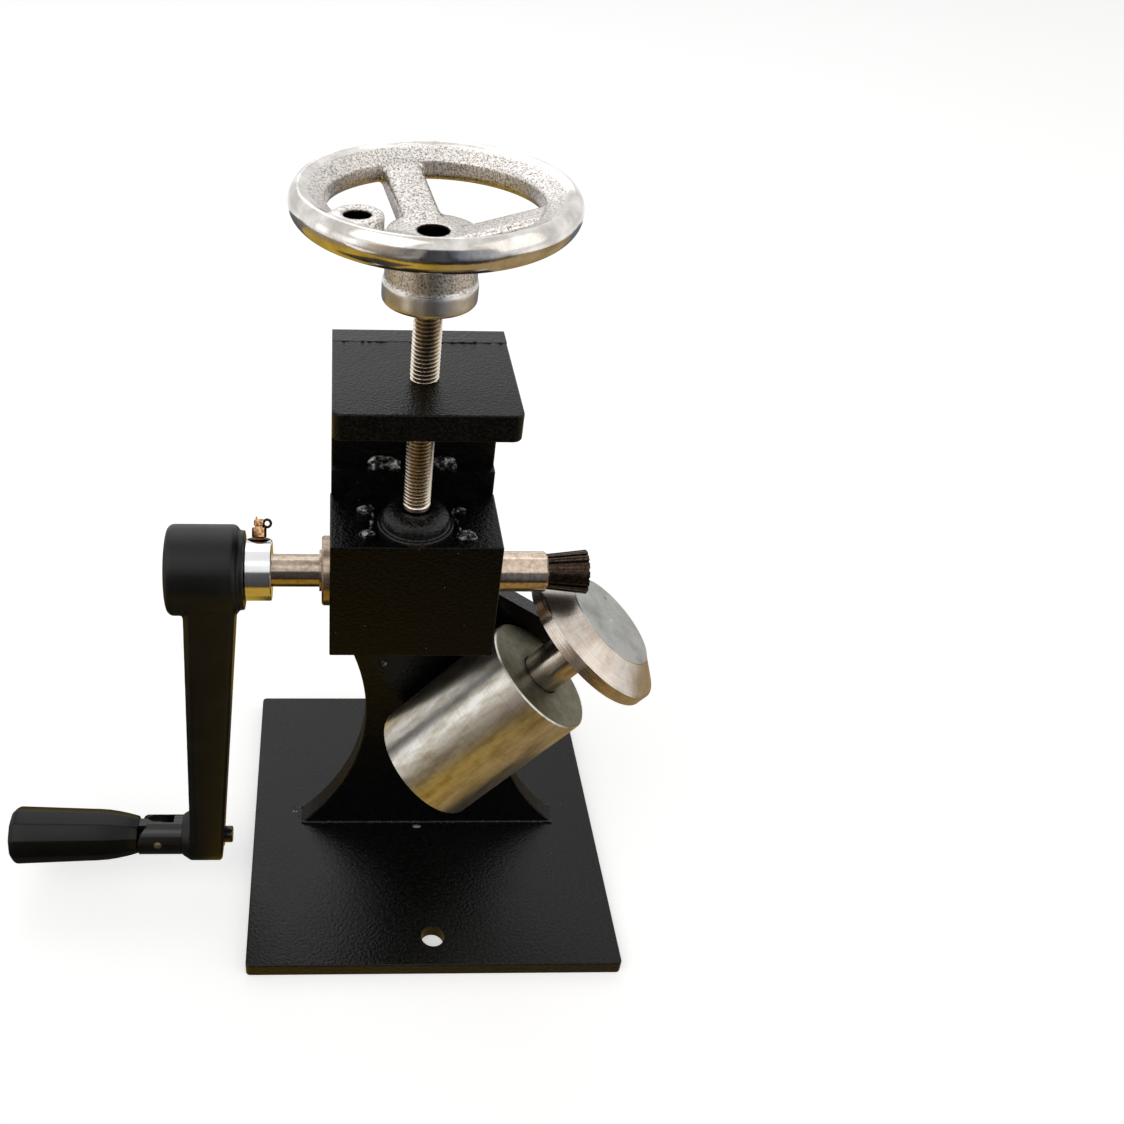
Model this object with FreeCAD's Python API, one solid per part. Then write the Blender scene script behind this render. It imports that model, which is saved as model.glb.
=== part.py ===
"""Hand-cranked belt embossing machine, one solid or group of solids per sub-part.

Millimetres. +X runs along the crank shaft towards the rollers, +Y to the back, +Z up.
The origin is the middle of the base plate's underside. Each sub-part is written to
parts/NODE.step.
"""
import FreeCAD
import Part
import math
import os

V = FreeCAD.Vector
X_AXIS = V(1, 0, 0)
Y_AXIS = V(0, 1, 0)
Z_AXIS = V(0, 0, 1)

# ---------------------------------------------------------------- base plate
BASE_WIDTH = 200.0
BASE_DEPTH = 200.0
BASE_THICKNESS = 8.0
BASE_CORNER_RADIUS = 2.5
BASE_HOLE_DIAMETER = 12.5
BASE_HOLE_INSET = 17.5

# ---------------------------------------------------------------- column plate
COLUMN_THICKNESS = 12.0
COLUMN_FRONT = -4.6
HEAD_ABOVE_SHAFT = 100.0
HEAD_CENTRE = -18.8
HEAD_WIDTH = 75.0
FOOT_WIDTH = 149.0
WAIST_WIDTH = 77.0
WAIST_CENTRE = 2.0
WAIST_HEIGHT = 98.0
EAR_SIDE_WAIST_DROP = 8.0
EAR_TIP_BELOW_SHAFT = 63.4
EAR_ROOT_BELOW_SHAFT = 33.0

# ---------------------------------------------------------------- top plate
TOP_PLATE_THICKNESS = 12.0
TOP_PLATE_DEPTH = 61.7
TOP_PLATE_CORNER = 4.0

# ---------------------------------------------------------------- edges and welds
EDGE_ROUND = 0.8
EDGE_BREAK = 0.6
FOOT_WELD_LEG = 2.5
TOP_WELD_LEG = 3.0

# ---------------------------------------------------------------- fits
RUNNING_CLEARANCE = 0.04
SLIDE_CLEARANCE = 0.05
THREAD_CLEARANCE = 0.06
AXIAL_PLAY = 0.1
OPEN_CLEARANCE = 0.5
TOUCH = 1e-6

# ---------------------------------------------------------------- tilted anvil unit
TILT_ANGLE = 50.0
HOUSING_DIAMETER = 62.0
HOUSING_LENGTH = 82.0
HOUSING_FRONT_WALL = 9.0
HOUSING_EDGE_BEVEL = 0.8
HOUSING_WELD_NEAR = 8.5
HOUSING_WELD_FAR = 13.5
HOUSING_WELD_MARGIN = 9.0
RACE_RELIEF = 1.0
BEARING_BORE = 20.0
BEARING_OUTER = 47.0
BEARING_WIDTH = 14.0
BEARING_LAND = 3.5
BALL_DIAMETER = 7.94
BALL_COUNT = 8
BEARING_END_ROOM = 11.0
SPACER_WALL = 3.0
CIRCLIP_THICKNESS = 1.5
CIRCLIP_BITE = 1.0
CIRCLIP_HEIGHT = 3.0
END_CAP_LEDGE = 2.5
END_CAP_THICKNESS = 4.0
SPINDLE_SHOULDER = 0.5
SPINDLE_STUB_DIAMETER = 16.0
SPINDLE_TAIL = 3.0
SPINDLE_END_BEVEL = 1.0
SPINDLE_REACH = 31.2
DISC_DIAMETER = 77.0
DISC_RIM_WIDTH = 6.2
DISC_FACE_DIAMETER = 50.8
DISC_FACE_STEP = 0.4
DISC_FACE_WALL = 2.3
DISC_CENTRE_PIT = 2.2

# ---------------------------------------------------------------- crank shaft line
SHAFT_HEIGHT = 222.0
CRANK_JOURNAL = 15.0
ROLLER_JOURNAL = 18.6
SHAFT_SHOULDER_BEVEL = 1.0
BUSH_WALL = 3.5
BUSH_LENGTH = 30.0
BUSH_FLANGE_DIAMETER = 32.0
BUSH_FLANGE_THICKNESS = 3.6
SHAFT_CLIP_DIAMETER = 19.0
SHAFT_CLIP_THICKNESS = 1.0
SHAFT_CLIP_BITE = 0.6
SHAFT_CLIP_GAP = 5.0
ROLLER_SHAFT_SHOWN = 23.6
ROLLER_LENGTH = 18.4
ROLLER_DIAMETER = 20.5
ROLLER_TAPER_ANGLE = 6.5
ROLLER_BORE = 10.0
RIB_COUNT = 15
RIB_GROOVE_WIDTH = 1.4
RIB_GROOVE_DEPTH = 1.6
RIB_LINE_WIDTH = 0.5
RIB_LINE_DEPTH = 0.4
ROLLER_CORNER_GAP = 0.5
NIP_GAP = 3.3
ROLLER_KEY_SIZE = 3.0
ROLLER_SCREW_DIAMETER = 5.0
ROLLER_SCREW_LENGTH = 12.0
ROLLER_SCREW_HEAD = 12.5
ROLLER_SCREW_HEAD_HEIGHT = 2.6

# ---------------------------------------------------------------- sliding block
BLOCK_WIDTH = 76.0
BLOCK_HEIGHT = 63.0
BLOCK_BELOW_SHAFT = 37.0
BLOCK_BEFORE_SHAFT = 17.2
BLOCK_BORE_RELIEF = 1.0
GUIDE_PLATE_THICKNESS = 6.0
GUIDE_PLATE_BELOW_BAR = 4.0
GUIDE_PLATE_ABOVE_BAR = 8.0
DOVETAIL_WIDTH = 63.0
DOVETAIL_DEPTH = 8.0
DOVETAIL_ANGLE = 60.0
DOVETAIL_BELOW_SHAFT = 46.0
DOVETAIL_HEIGHT = 76.0
GUIDE_WELD_OFFSET = 13.4
GUIDE_WELD_RADIUS = 6.4
GUIDE_SCREW_DIAMETER = 6.0
GUIDE_SCREW_HEAD = 12.0
GUIDE_SCREW_LENGTH = 22.0
GUIDE_SCREW_SPACING_X = 36.0
GUIDE_SCREW_SPACING_Z = 50.0

# ---------------------------------------------------------------- pressure screw
SCREW_DIAMETER = 12.0
SCREW_NECK_CUT = 0.7
SCREW_NECK_LENGTH = 10.5
SCREW_HEAD_DIAMETER = 16.0
SCREW_HEAD_HEIGHT = 5.5
SCREW_END_BEVEL = 1.2
THRUST_PAD_THICKNESS = 2.0
HUB_FLANGE_DIAMETER = 34.0
HUB_FLANGE_THICKNESS = 2.0
HUB_CROWN_DIAMETER = 30.0
HUB_CROWN_HEIGHT = 7.6
HUB_CROWN_WALL = 2.2
HUB_CROWN_TOP_DIAMETER = 15.5
TACK_RADIUS = 3.8
TACK_SPACING_X = 42.6
TACK_SPACING_Y = 19.0

# ---------------------------------------------------------------- handwheel
WHEEL_DIAMETER = 109.0
WHEEL_RIM_SECTION = 15.4
WHEEL_RIM_FLAT = 1.4
RIM_CREST_OUTSET = 4.0
RIM_SLOPE_DROP = 5.1
WHEEL_DISH = 11.0
WHEEL_LIFT = 34.0
WHEEL_HUB_HEIGHT = 28.0
WHEEL_HUB_DIAMETER = 36.0
WHEEL_SKIRT_DIAMETER = 37.6
WHEEL_SKIRT_HEIGHT = 8.6
SCREW_TOP_RECESS = 6.0
SPOKE_COUNT = 3
SPOKE_FIRST_ANGLE = 105.0
SPOKE_WIDTH = 16.0
SPOKE_THICKNESS = 10.0
SPOKE_ROUND = 2.5
SPOKE_HUB_OVERLAP = 9.0
SPOKE_RIM_DROP = 6.0
WHEEL_HANDLE_HOLE = 9.8
WHEEL_HANDLE_INSET = 5.3
WHEEL_HANDLE_BOSS = 19.0
WHEEL_HANDLE_BOSS_RISE = 6.1
WHEEL_HANDLE_BOSS_HEIGHT = 10.0
GRUB_DIAMETER = 6.0
GRUB_LENGTH = 8.0
GRUB_SOCKET = 3.0

# ---------------------------------------------------------------- shaft collar
COLLAR_DIAMETER = 28.0
COLLAR_WIDTH = 11.9
COLLAR_GAP = 0.4
EYE_SCREW_ANGLE = 37.0
EYE_SCREW_THREAD = 5.0
EYE_SCREW_FLANGE = 11.0
EYE_SCREW_FLANGE_HEIGHT = 1.2
EYE_SCREW_CONE_BASE = 7.6
EYE_SCREW_CONE_TOP = 4.6
EYE_SCREW_CONE_HEIGHT = 5.6
EYE_SCREW_TIP = 3.0
EYE_SCREW_TIP_HEIGHT = 4.2
EYE_RING_DIAMETER = 4.6
EYE_RING_WIRE = 1.2
EYE_RING_ABOVE_CONE = 2.4
EYE_SEAT_DEPTH = 0.4

# ---------------------------------------------------------------- crank
CRANK_SHAFT_SHOWN = 22.7
CRANK_HUB_DIAMETER = 42.0
CRANK_HUB_LENGTH = 32.6
CRANK_HUB_ROUND = 3.0
CRANK_LIP_DIAMETER = 36.6
CRANK_LIP_LENGTH = 2.5
CRANK_SLEEVE_DIAMETER = 24.0
CRANK_SLEEVE_LENGTH = 29.0
CRANK_KEY_SIZE = 5.0
CRANK_KEY_LENGTH = 22.0
CRANK_RADIUS = 186.0
ARM_ROOT_INSET = 7.9
ARM_ROOT_THICKNESS = 24.1
ARM_TIP_THICKNESS = 17.9
ARM_LEAN = 9.4
ARM_ROOT_WIDTH = 38.6
ARM_TIP_WIDTH = 28.0
ARM_OUTER_BEVEL = 3.0
ARM_INNER_BEVEL = 1.2
ARM_BOSS_DIAMETER = 22.4
ARM_BOSS_HEIGHT = 4.6
END_SCREW_DIAMETER = 6.0
END_SCREW_HEAD = 12.0
END_SCREW_LENGTH = 24.0
END_SCREW_SOCKET = 3.6

# ---------------------------------------------------------------- folding handle
FORK_DIAMETER = 21.4
FORK_STUD_DIAMETER = 10.0
FORK_STUD_END_DIAMETER = 9.0
FORK_STUD_END_LENGTH = 5.3
FORK_BASE_LENGTH = 13.0
FORK_TIP_REACH = 10.8
FORK_SLOT_WIDTH = 7.0
FORK_SLOT_GAP = 0.3
FORK_ROLL_ANGLE = 16.0
STUD_WASHER_DIAMETER = 12.4
STUD_WASHER_THICKNESS = 0.8
STUD_SEAT_DEPTH = 0.6
FOLD_PIN_DIAMETER = 4.0
TONGUE_RADIUS = 8.0
GRIP_FORK_GAP = 0.3
TONGUE_SIDE_CLEARANCE = 0.05
HANDLE_ROD_DIAMETER = 8.0
GRIP_LENGTH = 69.0
GRIP_ROOT_DIAMETER = 20.2
GRIP_SHOULDER_DIAMETER = 27.8
GRIP_SHOULDER_POSITION = 24.0
GRIP_END_DIAMETER = 30.8
GRIP_END_ROUND = 4.0
GRIP_COUNTERBORE_DEPTH = 6.0
GRIP_WASHER_GAP = 0.7
GRIP_WASHER_DIAMETER = 12.6
GRIP_WASHER_THICKNESS = 1.2
GRIP_SCREW_DIAMETER = 5.0
GRIP_SCREW_LENGTH = 14.0
GRIP_SCREW_HEAD = 8.5
GRIP_SCREW_HEAD_HEIGHT = 3.2

# ---------------------------------------------------------------- places worked out from the above
AXIS_Y = COLUMN_FRONT - HOUSING_DIAMETER / 2
BASE_HOLE_SPACING = BASE_DEPTH - 2 * BASE_HOLE_INSET
COLUMN_BACK = COLUMN_FRONT + COLUMN_THICKNESS
HEAD_TOP = SHAFT_HEIGHT + HEAD_ABOVE_SHAFT
EAR_SIDE_WAIST = WAIST_HEIGHT - EAR_SIDE_WAIST_DROP
EAR_TIP_HEIGHT = SHAFT_HEIGHT - EAR_TIP_BELOW_SHAFT
EAR_ROOT_HEIGHT = SHAFT_HEIGHT - EAR_ROOT_BELOW_SHAFT
HEAD_LEFT = HEAD_CENTRE - HEAD_WIDTH / 2
HEAD_RIGHT = HEAD_CENTRE + HEAD_WIDTH / 2
TOP_PLATE_FRONT = COLUMN_FRONT - TOP_PLATE_DEPTH
TOP_PLATE_BOTTOM = HEAD_TOP - TOP_PLATE_THICKNESS
BLOCK_LEFT = HEAD_CENTRE - BLOCK_WIDTH / 2
BLOCK_RIGHT = HEAD_CENTRE + BLOCK_WIDTH / 2
BLOCK_FRONT = AXIS_Y - BLOCK_BEFORE_SHAFT
BLOCK_BOTTOM = SHAFT_HEIGHT - BLOCK_BELOW_SHAFT
BLOCK_TOP = BLOCK_BOTTOM + BLOCK_HEIGHT
GUIDE_PLATE_FRONT = COLUMN_FRONT - GUIDE_PLATE_THICKNESS
DOVETAIL_BOTTOM = SHAFT_HEIGHT - DOVETAIL_BELOW_SHAFT
DOVETAIL_TOP = DOVETAIL_BOTTOM + DOVETAIL_HEIGHT
GUIDE_PLATE_BOTTOM = DOVETAIL_BOTTOM - GUIDE_PLATE_BELOW_BAR
GUIDE_PLATE_TOP = DOVETAIL_TOP + GUIDE_PLATE_ABOVE_BAR
BLOCK_BACK = GUIDE_PLATE_FRONT - SLIDE_CLEARANCE
DOVETAIL_FRONT = GUIDE_PLATE_FRONT - DOVETAIL_DEPTH
DOVETAIL_NARROWING = DOVETAIL_DEPTH / math.tan(math.radians(DOVETAIL_ANGLE))
LEFT_BUSH_OUTER = CRANK_JOURNAL + 2 * BUSH_WALL
RIGHT_BUSH_OUTER = ROLLER_JOURNAL + 2 * BUSH_WALL
SHAFT_STEP_X = BLOCK_LEFT + BUSH_LENGTH + AXIAL_PLAY
ROLLER_START = BLOCK_RIGHT + ROLLER_SHAFT_SHOWN
ROLLER_NARROWING = ROLLER_LENGTH * math.tan(math.radians(ROLLER_TAPER_ANGLE))
ROLLER_SMALL_RADIUS = ROLLER_DIAMETER / 2 - ROLLER_NARROWING
BUSH_FLANGE_FACE = BLOCK_LEFT - BUSH_FLANGE_THICKNESS
SHAFT_CLIP_END = BUSH_FLANGE_FACE - AXIAL_PLAY
COLLAR_LEFT = BUSH_FLANGE_FACE - CRANK_SHAFT_SHOWN - COLLAR_WIDTH
COLLAR_MIDDLE = COLLAR_LEFT + COLLAR_WIDTH / 2
CRANK_LIP_FACE = COLLAR_LEFT - COLLAR_GAP
CRANK_HUB_INNER = CRANK_LIP_FACE - CRANK_LIP_LENGTH
CRANK_HUB_END = CRANK_HUB_INNER - CRANK_HUB_LENGTH
CRANK_BORE_END = CRANK_LIP_FACE - CRANK_SLEEVE_LENGTH
ARM_ROOT_OUTER = CRANK_HUB_END + ARM_ROOT_INSET
ARM_ROOT_INNER = ARM_ROOT_OUTER + ARM_ROOT_THICKNESS
ARM_TIP_OUTER = ARM_ROOT_OUTER - ARM_LEAN
ARM_TIP_INNER = ARM_TIP_OUTER + ARM_TIP_THICKNESS
HANDLE_HEIGHT = SHAFT_HEIGHT - CRANK_RADIUS
FORK_FACE = ARM_TIP_OUTER - ARM_BOSS_HEIGHT
STUD_SEAT = ARM_TIP_INNER - STUD_SEAT_DEPTH
FOLD_X = FORK_FACE - FORK_BASE_LENGTH
FORK_SLOT_REACH = TONGUE_RADIUS + FORK_SLOT_GAP
TONGUE_LENGTH = FORK_TIP_REACH + GRIP_FORK_GAP
GRIP_START = FOLD_X - TONGUE_LENGTH - AXIAL_PLAY
GRIP_END = GRIP_START - GRIP_LENGTH
GRIP_COUNTERBORE_DIAMETER = GRIP_WASHER_DIAMETER + 2 * GRIP_WASHER_GAP
WHEEL_HUB_BOTTOM = HEAD_TOP + WHEEL_LIFT
WHEEL_HUB_TOP = WHEEL_HUB_BOTTOM + WHEEL_HUB_HEIGHT
WHEEL_RIM_HEIGHT = WHEEL_HUB_TOP + WHEEL_DISH
WHEEL_RIM_RADIUS = (WHEEL_DIAMETER - WHEEL_RIM_SECTION) / 2
WHEEL_RIM_INNER = 2 * WHEEL_RIM_RADIUS - WHEEL_RIM_SECTION + 2 * WHEEL_RIM_FLAT
RIM_CREST_HEIGHT = WHEEL_RIM_HEIGHT + math.sqrt((WHEEL_RIM_SECTION / 2) ** 2 - RIM_CREST_OUTSET ** 2)
WHEEL_HANDLE_HOLE_RADIUS = WHEEL_RIM_RADIUS - WHEEL_HANDLE_INSET
WHEEL_HANDLE_BOSS_TOP = WHEEL_RIM_HEIGHT + WHEEL_HANDLE_BOSS_RISE
SCREW_NECK_DIAMETER = SCREW_DIAMETER - 2 * SCREW_NECK_CUT
THRUST_PAD_BOTTOM = BLOCK_TOP - SCREW_HEAD_HEIGHT - THRUST_PAD_THICKNESS - 2 * AXIAL_PLAY
SCREW_BOTTOM = THRUST_PAD_BOTTOM + THRUST_PAD_THICKNESS + AXIAL_PLAY
SCREW_THREAD_START = SCREW_BOTTOM + SCREW_HEAD_HEIGHT + SCREW_NECK_LENGTH
SCREW_TOP = WHEEL_HUB_TOP - SCREW_TOP_RECESS
END_CAP_DIAMETER = BEARING_OUTER + 2 * END_CAP_LEDGE
SPINDLE_DIAMETER = BEARING_BORE + 2 * SPINDLE_SHOULDER
SPACER_LENGTH = HOUSING_LENGTH - HOUSING_FRONT_WALL - 2 * BEARING_WIDTH - BEARING_END_ROOM
FRONT_BEARING_END = -HOUSING_FRONT_WALL
REAR_BEARING_START = FRONT_BEARING_END - BEARING_WIDTH - SPACER_LENGTH
REAR_BEARING_END = REAR_BEARING_START - BEARING_WIDTH
SPINDLE_END = REAR_BEARING_END - CIRCLIP_THICKNESS - SPINDLE_TAIL
RIM_FRONT = SPINDLE_REACH + DISC_RIM_WIDTH
CONE_ANGLE = TILT_ANGLE + ROLLER_TAPER_ANGLE
CONE_HEIGHT = (DISC_DIAMETER - DISC_FACE_DIAMETER) / 2 / math.tan(math.radians(CONE_ANGLE))
FACE_STEP_START = RIM_FRONT + CONE_HEIGHT
SPINDLE_STUB_END = FACE_STEP_START + DISC_FACE_STEP - DISC_FACE_WALL


# ================================================================ building blocks
def box(x0, x1, y0, y1, z0, z1):
    """A block between two corners."""
    return Part.makeBox(x1 - x0, y1 - y0, z1 - z0, V(x0, y0, z0))


def rod(start, direction, diameter, length):
    """A round bar from a point along a direction."""
    return Part.makeCylinder(diameter / 2, length, start, direction)


def ring(start, direction, outer, inner, length):
    """A tube from a point along a direction."""
    return rod(start, direction, outer, length).cut(rod(start, direction, inner, length))


def prism(points, depth):
    """A closed outline of points, drawn out along a vector."""
    face = Part.Face(Part.makePolygon(points + [points[0]]))
    return face.extrude(depth)


def turned(profile):
    """A profile of (radius, height) points, turned about the Z axis."""
    points = [V(radius, 0, height) for radius, height in profile]
    face = Part.Face(Part.makePolygon(points + [points[0]]))
    return face.revolve(V(0, 0, 0), Z_AXIS, 360)


def middle_of(edge):
    """The point halfway along an edge."""
    return edge.valueAt((edge.FirstParameter + edge.LastParameter) / 2)


def edges_where(shape, test):
    """The edges whose middle passes a test."""
    return [edge for edge in shape.Edges if test(middle_of(edge))]


def is_upright(edge):
    """Whether an edge runs straight along Z."""
    ends = [vertex.Point for vertex in edge.Vertexes]
    return len(ends) == 2 and math.hypot(ends[0].x - ends[1].x, ends[0].y - ends[1].y) < TOUCH


def upright_edges(shape):
    """The edges that run straight along Z."""
    return [edge for edge in shape.Edges if is_upright(edge)]


def group(solids):
    """Separate solids kept together as one sub-part."""
    return Part.makeCompound(solids)


def tilt_direction():
    """The direction of the anvil spindle, from its housing to its disc."""
    angle = math.radians(TILT_ANGLE)
    return V(math.cos(angle), 0, math.sin(angle))


def tilt_origin():
    """The centre of the housing's front face.

    The disc's cone is steeper than the spindle by the roller's taper, so its top line runs along
    the roller's underside, NIP_GAP below it. The line's first corner lies ROLLER_CORNER_GAP
    before the roller's start.
    """
    angle = math.radians(TILT_ANGLE)
    corner = V(ROLLER_START - ROLLER_CORNER_GAP, AXIS_Y, SHAFT_HEIGHT - ROLLER_SMALL_RADIUS - NIP_GAP)
    across = V(-math.sin(angle), 0, math.cos(angle))
    return corner - across * (DISC_DIAMETER / 2) - tilt_direction() * RIM_FRONT


def tilted(shape):
    """Move a shape built along Z, with 0 at the housing's front face, onto the tilted axis."""
    moved = shape.copy()
    turn = FreeCAD.Rotation(Y_AXIS, 90 - TILT_ANGLE)
    moved.Placement = FreeCAD.Placement(tilt_origin(), turn).multiply(shape.Placement)
    return moved


def near_any(value, targets):
    """Whether a value lies on one of some targets."""
    return min(abs(value - target) for target in targets) < TOUCH


# ================================================================ welded frame
def base_plate():
    plate = box(-BASE_WIDTH / 2, BASE_WIDTH / 2, -BASE_DEPTH / 2, BASE_DEPTH / 2, 0, BASE_THICKNESS)
    plate = plate.makeFillet(BASE_CORNER_RADIUS, upright_edges(plate))
    plate = plate.makeFillet(EDGE_ROUND, edges_where(plate, lambda p: p.z > BASE_THICKNESS - TOUCH))
    for side in (-1, 1):
        centre = V(0, side * BASE_HOLE_SPACING / 2, 0)
        plate = plate.cut(rod(centre, Z_AXIS, BASE_HOLE_DIAMETER, BASE_THICKNESS))
    return plate


def waist_arc(side, waist):
    """The concave side of the column's lower half: its radius, and its centre along X."""
    rise = waist - BASE_THICKNESS
    flare = (FOOT_WIDTH - WAIST_WIDTH) / 2
    radius = (rise ** 2 + flare ** 2) / (2 * flare)
    return radius, WAIST_CENTRE + side * (WAIST_WIDTH / 2 + radius)


def waist_point(side, height):
    """The point of that concave side at a height; the ear's side is narrowest a little lower."""
    waist = WAIST_HEIGHT if side < 0 else EAR_SIDE_WAIST
    radius, centre = waist_arc(side, waist)
    reach = math.sqrt(radius ** 2 - (height - waist) ** 2)
    return V(centre - side * reach, COLUMN_FRONT, height)


def column_outline():
    """An hourglass whose right shoulder carries the housing; its head is narrower and off centre."""
    radius, left_centre = waist_arc(-1, WAIST_HEIGHT)
    left_top = WAIST_HEIGHT + math.sqrt(radius ** 2 - (HEAD_LEFT - left_centre) ** 2)
    left = [waist_point(-1, height) for height in (left_top, WAIST_HEIGHT, BASE_THICKNESS)]
    right = [waist_point(1, height) for height in (BASE_THICKNESS, EAR_SIDE_WAIST, EAR_TIP_HEIGHT)]
    corner = [V(HEAD_RIGHT, COLUMN_FRONT, EAR_ROOT_HEIGHT), V(HEAD_RIGHT, COLUMN_FRONT, HEAD_TOP)]
    crown = V(HEAD_LEFT, COLUMN_FRONT, HEAD_TOP)
    edges = [
        Part.Arc(*left).toShape(),
        Part.makeLine(left[2], right[0]),
        Part.Arc(*right).toShape(),
        Part.makeLine(right[2], corner[0]),
        Part.makeLine(corner[0], corner[1]),
        Part.makeLine(corner[1], crown),
        Part.makeLine(crown, left[0]),
    ]
    return Part.Face(Part.Wire(edges))


def column_plate():
    """The column: its outline drawn back, its edges broken, and four holes for the guide's screws."""
    plate = column_outline().extrude(V(0, COLUMN_THICKNESS, 0))
    faces = (COLUMN_FRONT, COLUMN_BACK)
    above_foot = BASE_THICKNESS + EDGE_BREAK
    plate = plate.makeChamfer(EDGE_BREAK, edges_where(
        plate, lambda p: p.z > above_foot and near_any(p.y, faces)))
    for hole in guide_screw_places():
        start = V(hole.x, COLUMN_FRONT, hole.z)
        plate = plate.cut(rod(start, Y_AXIS, GUIDE_SCREW_DIAMETER, COLUMN_THICKNESS))
    return plate


def top_plate():
    """The plate that the pressure screw threads through, welded to the column's front."""
    plate = box(HEAD_LEFT, HEAD_RIGHT, TOP_PLATE_FRONT, COLUMN_FRONT, TOP_PLATE_BOTTOM, HEAD_TOP)
    front = TOP_PLATE_FRONT + TOUCH
    corners = [edge for edge in upright_edges(plate) if middle_of(edge).y < front]
    plate = plate.makeFillet(TOP_PLATE_CORNER, corners)
    faces = (TOP_PLATE_BOTTOM, HEAD_TOP)
    rims = edges_where(plate, lambda p: near_any(p.z, faces) and p.y < COLUMN_FRONT - TOUCH)
    plate = plate.makeFillet(EDGE_ROUND, rims)
    thread = SCREW_DIAMETER + 2 * THREAD_CLEARANCE
    return plate.cut(screw_hole(TOP_PLATE_BOTTOM, TOP_PLATE_THICKNESS, thread))


def screw_hole(bottom, length, diameter):
    """A bore on the pressure screw's axis."""
    return rod(V(HEAD_CENTRE, AXIS_Y, bottom), Z_AXIS, diameter, length)


def foot_welds():
    """A fillet bead along the front and the back of the column's foot."""
    left = waist_point(-1, BASE_THICKNESS).x
    length = V(FOOT_WIDTH, 0, 0)
    beads = []
    for face, outward in ((COLUMN_FRONT, -1), (COLUMN_BACK, 1)):
        beads.append(prism([
            V(left, face, BASE_THICKNESS),
            V(left, face + outward * FOOT_WELD_LEG, BASE_THICKNESS),
            V(left, face, BASE_THICKNESS + FOOT_WELD_LEG),
        ], length))
    return group(beads)


def top_plate_weld():
    """The fillet bead in the corner under the top plate."""
    return prism([
        V(HEAD_LEFT, COLUMN_FRONT, TOP_PLATE_BOTTOM),
        V(HEAD_LEFT, COLUMN_FRONT - TOP_WELD_LEG, TOP_PLATE_BOTTOM),
        V(HEAD_LEFT, COLUMN_FRONT, TOP_PLATE_BOTTOM - TOP_WELD_LEG),
    ], V(HEAD_WIDTH, 0, 0))


def guide_plate():
    plate = box(HEAD_LEFT, HEAD_RIGHT, GUIDE_PLATE_FRONT, COLUMN_FRONT,
                GUIDE_PLATE_BOTTOM, GUIDE_PLATE_TOP)
    for hole in guide_screw_places():
        start = V(hole.x, GUIDE_PLATE_FRONT, hole.z)
        plate = plate.cut(rod(start, Y_AXIS, GUIDE_SCREW_DIAMETER, GUIDE_PLATE_THICKNESS))
    return plate


def dovetail_prism(bottom, top, gap):
    """The dovetail, wider at its front, grown by a gap on every side but its root."""
    half_front = DOVETAIL_WIDTH / 2 + gap
    half_root = half_front - DOVETAIL_NARROWING
    return prism([
        V(HEAD_CENTRE - half_root, GUIDE_PLATE_FRONT, bottom),
        V(HEAD_CENTRE - half_front, DOVETAIL_FRONT - gap, bottom),
        V(HEAD_CENTRE + half_front, DOVETAIL_FRONT - gap, bottom),
        V(HEAD_CENTRE + half_root, GUIDE_PLATE_FRONT, bottom),
    ], V(0, 0, top - bottom))


def guide_screw_places():
    """The four screws through the dovetail bar, given on its front face."""
    middle = (DOVETAIL_BOTTOM + DOVETAIL_TOP) / 2
    places = []
    for side in (-1, 1):
        for level in (-1, 1):
            across = HEAD_CENTRE + side * GUIDE_SCREW_SPACING_X / 2
            places.append(V(across, DOVETAIL_FRONT, middle + level * GUIDE_SCREW_SPACING_Z / 2))
    return places


def guide_screw(place):
    """A countersunk screw with its head flush in the dovetail bar."""
    cone = (GUIDE_SCREW_HEAD - GUIDE_SCREW_DIAMETER) / 2
    head = Part.makeCone(GUIDE_SCREW_HEAD / 2, GUIDE_SCREW_DIAMETER / 2, cone, place, Y_AXIS)
    socket = rod(place, Y_AXIS, GUIDE_SCREW_DIAMETER / 2, cone)
    return head.fuse(rod(place, Y_AXIS, GUIDE_SCREW_DIAMETER, GUIDE_SCREW_LENGTH)).cut(socket)


def guide_screws():
    return group([guide_screw(place) for place in guide_screw_places()])


def dovetail_bar():
    bar = dovetail_prism(DOVETAIL_BOTTOM, DOVETAIL_TOP, 0)
    cone = (GUIDE_SCREW_HEAD - GUIDE_SCREW_DIAMETER) / 2
    for place in guide_screw_places():
        sink = Part.makeCone(GUIDE_SCREW_HEAD / 2, GUIDE_SCREW_DIAMETER / 2, cone, place, Y_AXIS)
        bar = bar.cut(sink).cut(rod(place, Y_AXIS, GUIDE_SCREW_DIAMETER, DOVETAIL_DEPTH))
    return bar


def guide_welds():
    """Two lumps of weld on the guide plate's top edge, no prouder than the plate."""
    lumps = []
    room = box(HEAD_LEFT, HEAD_RIGHT, GUIDE_PLATE_FRONT, COLUMN_FRONT, GUIDE_PLATE_TOP, HEAD_TOP)
    for side in (-1, 1):
        centre = V(HEAD_CENTRE + side * GUIDE_WELD_OFFSET, COLUMN_FRONT, GUIDE_PLATE_TOP)
        lumps.append(Part.makeSphere(GUIDE_WELD_RADIUS, centre).common(room))
    return group(lumps)


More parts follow.
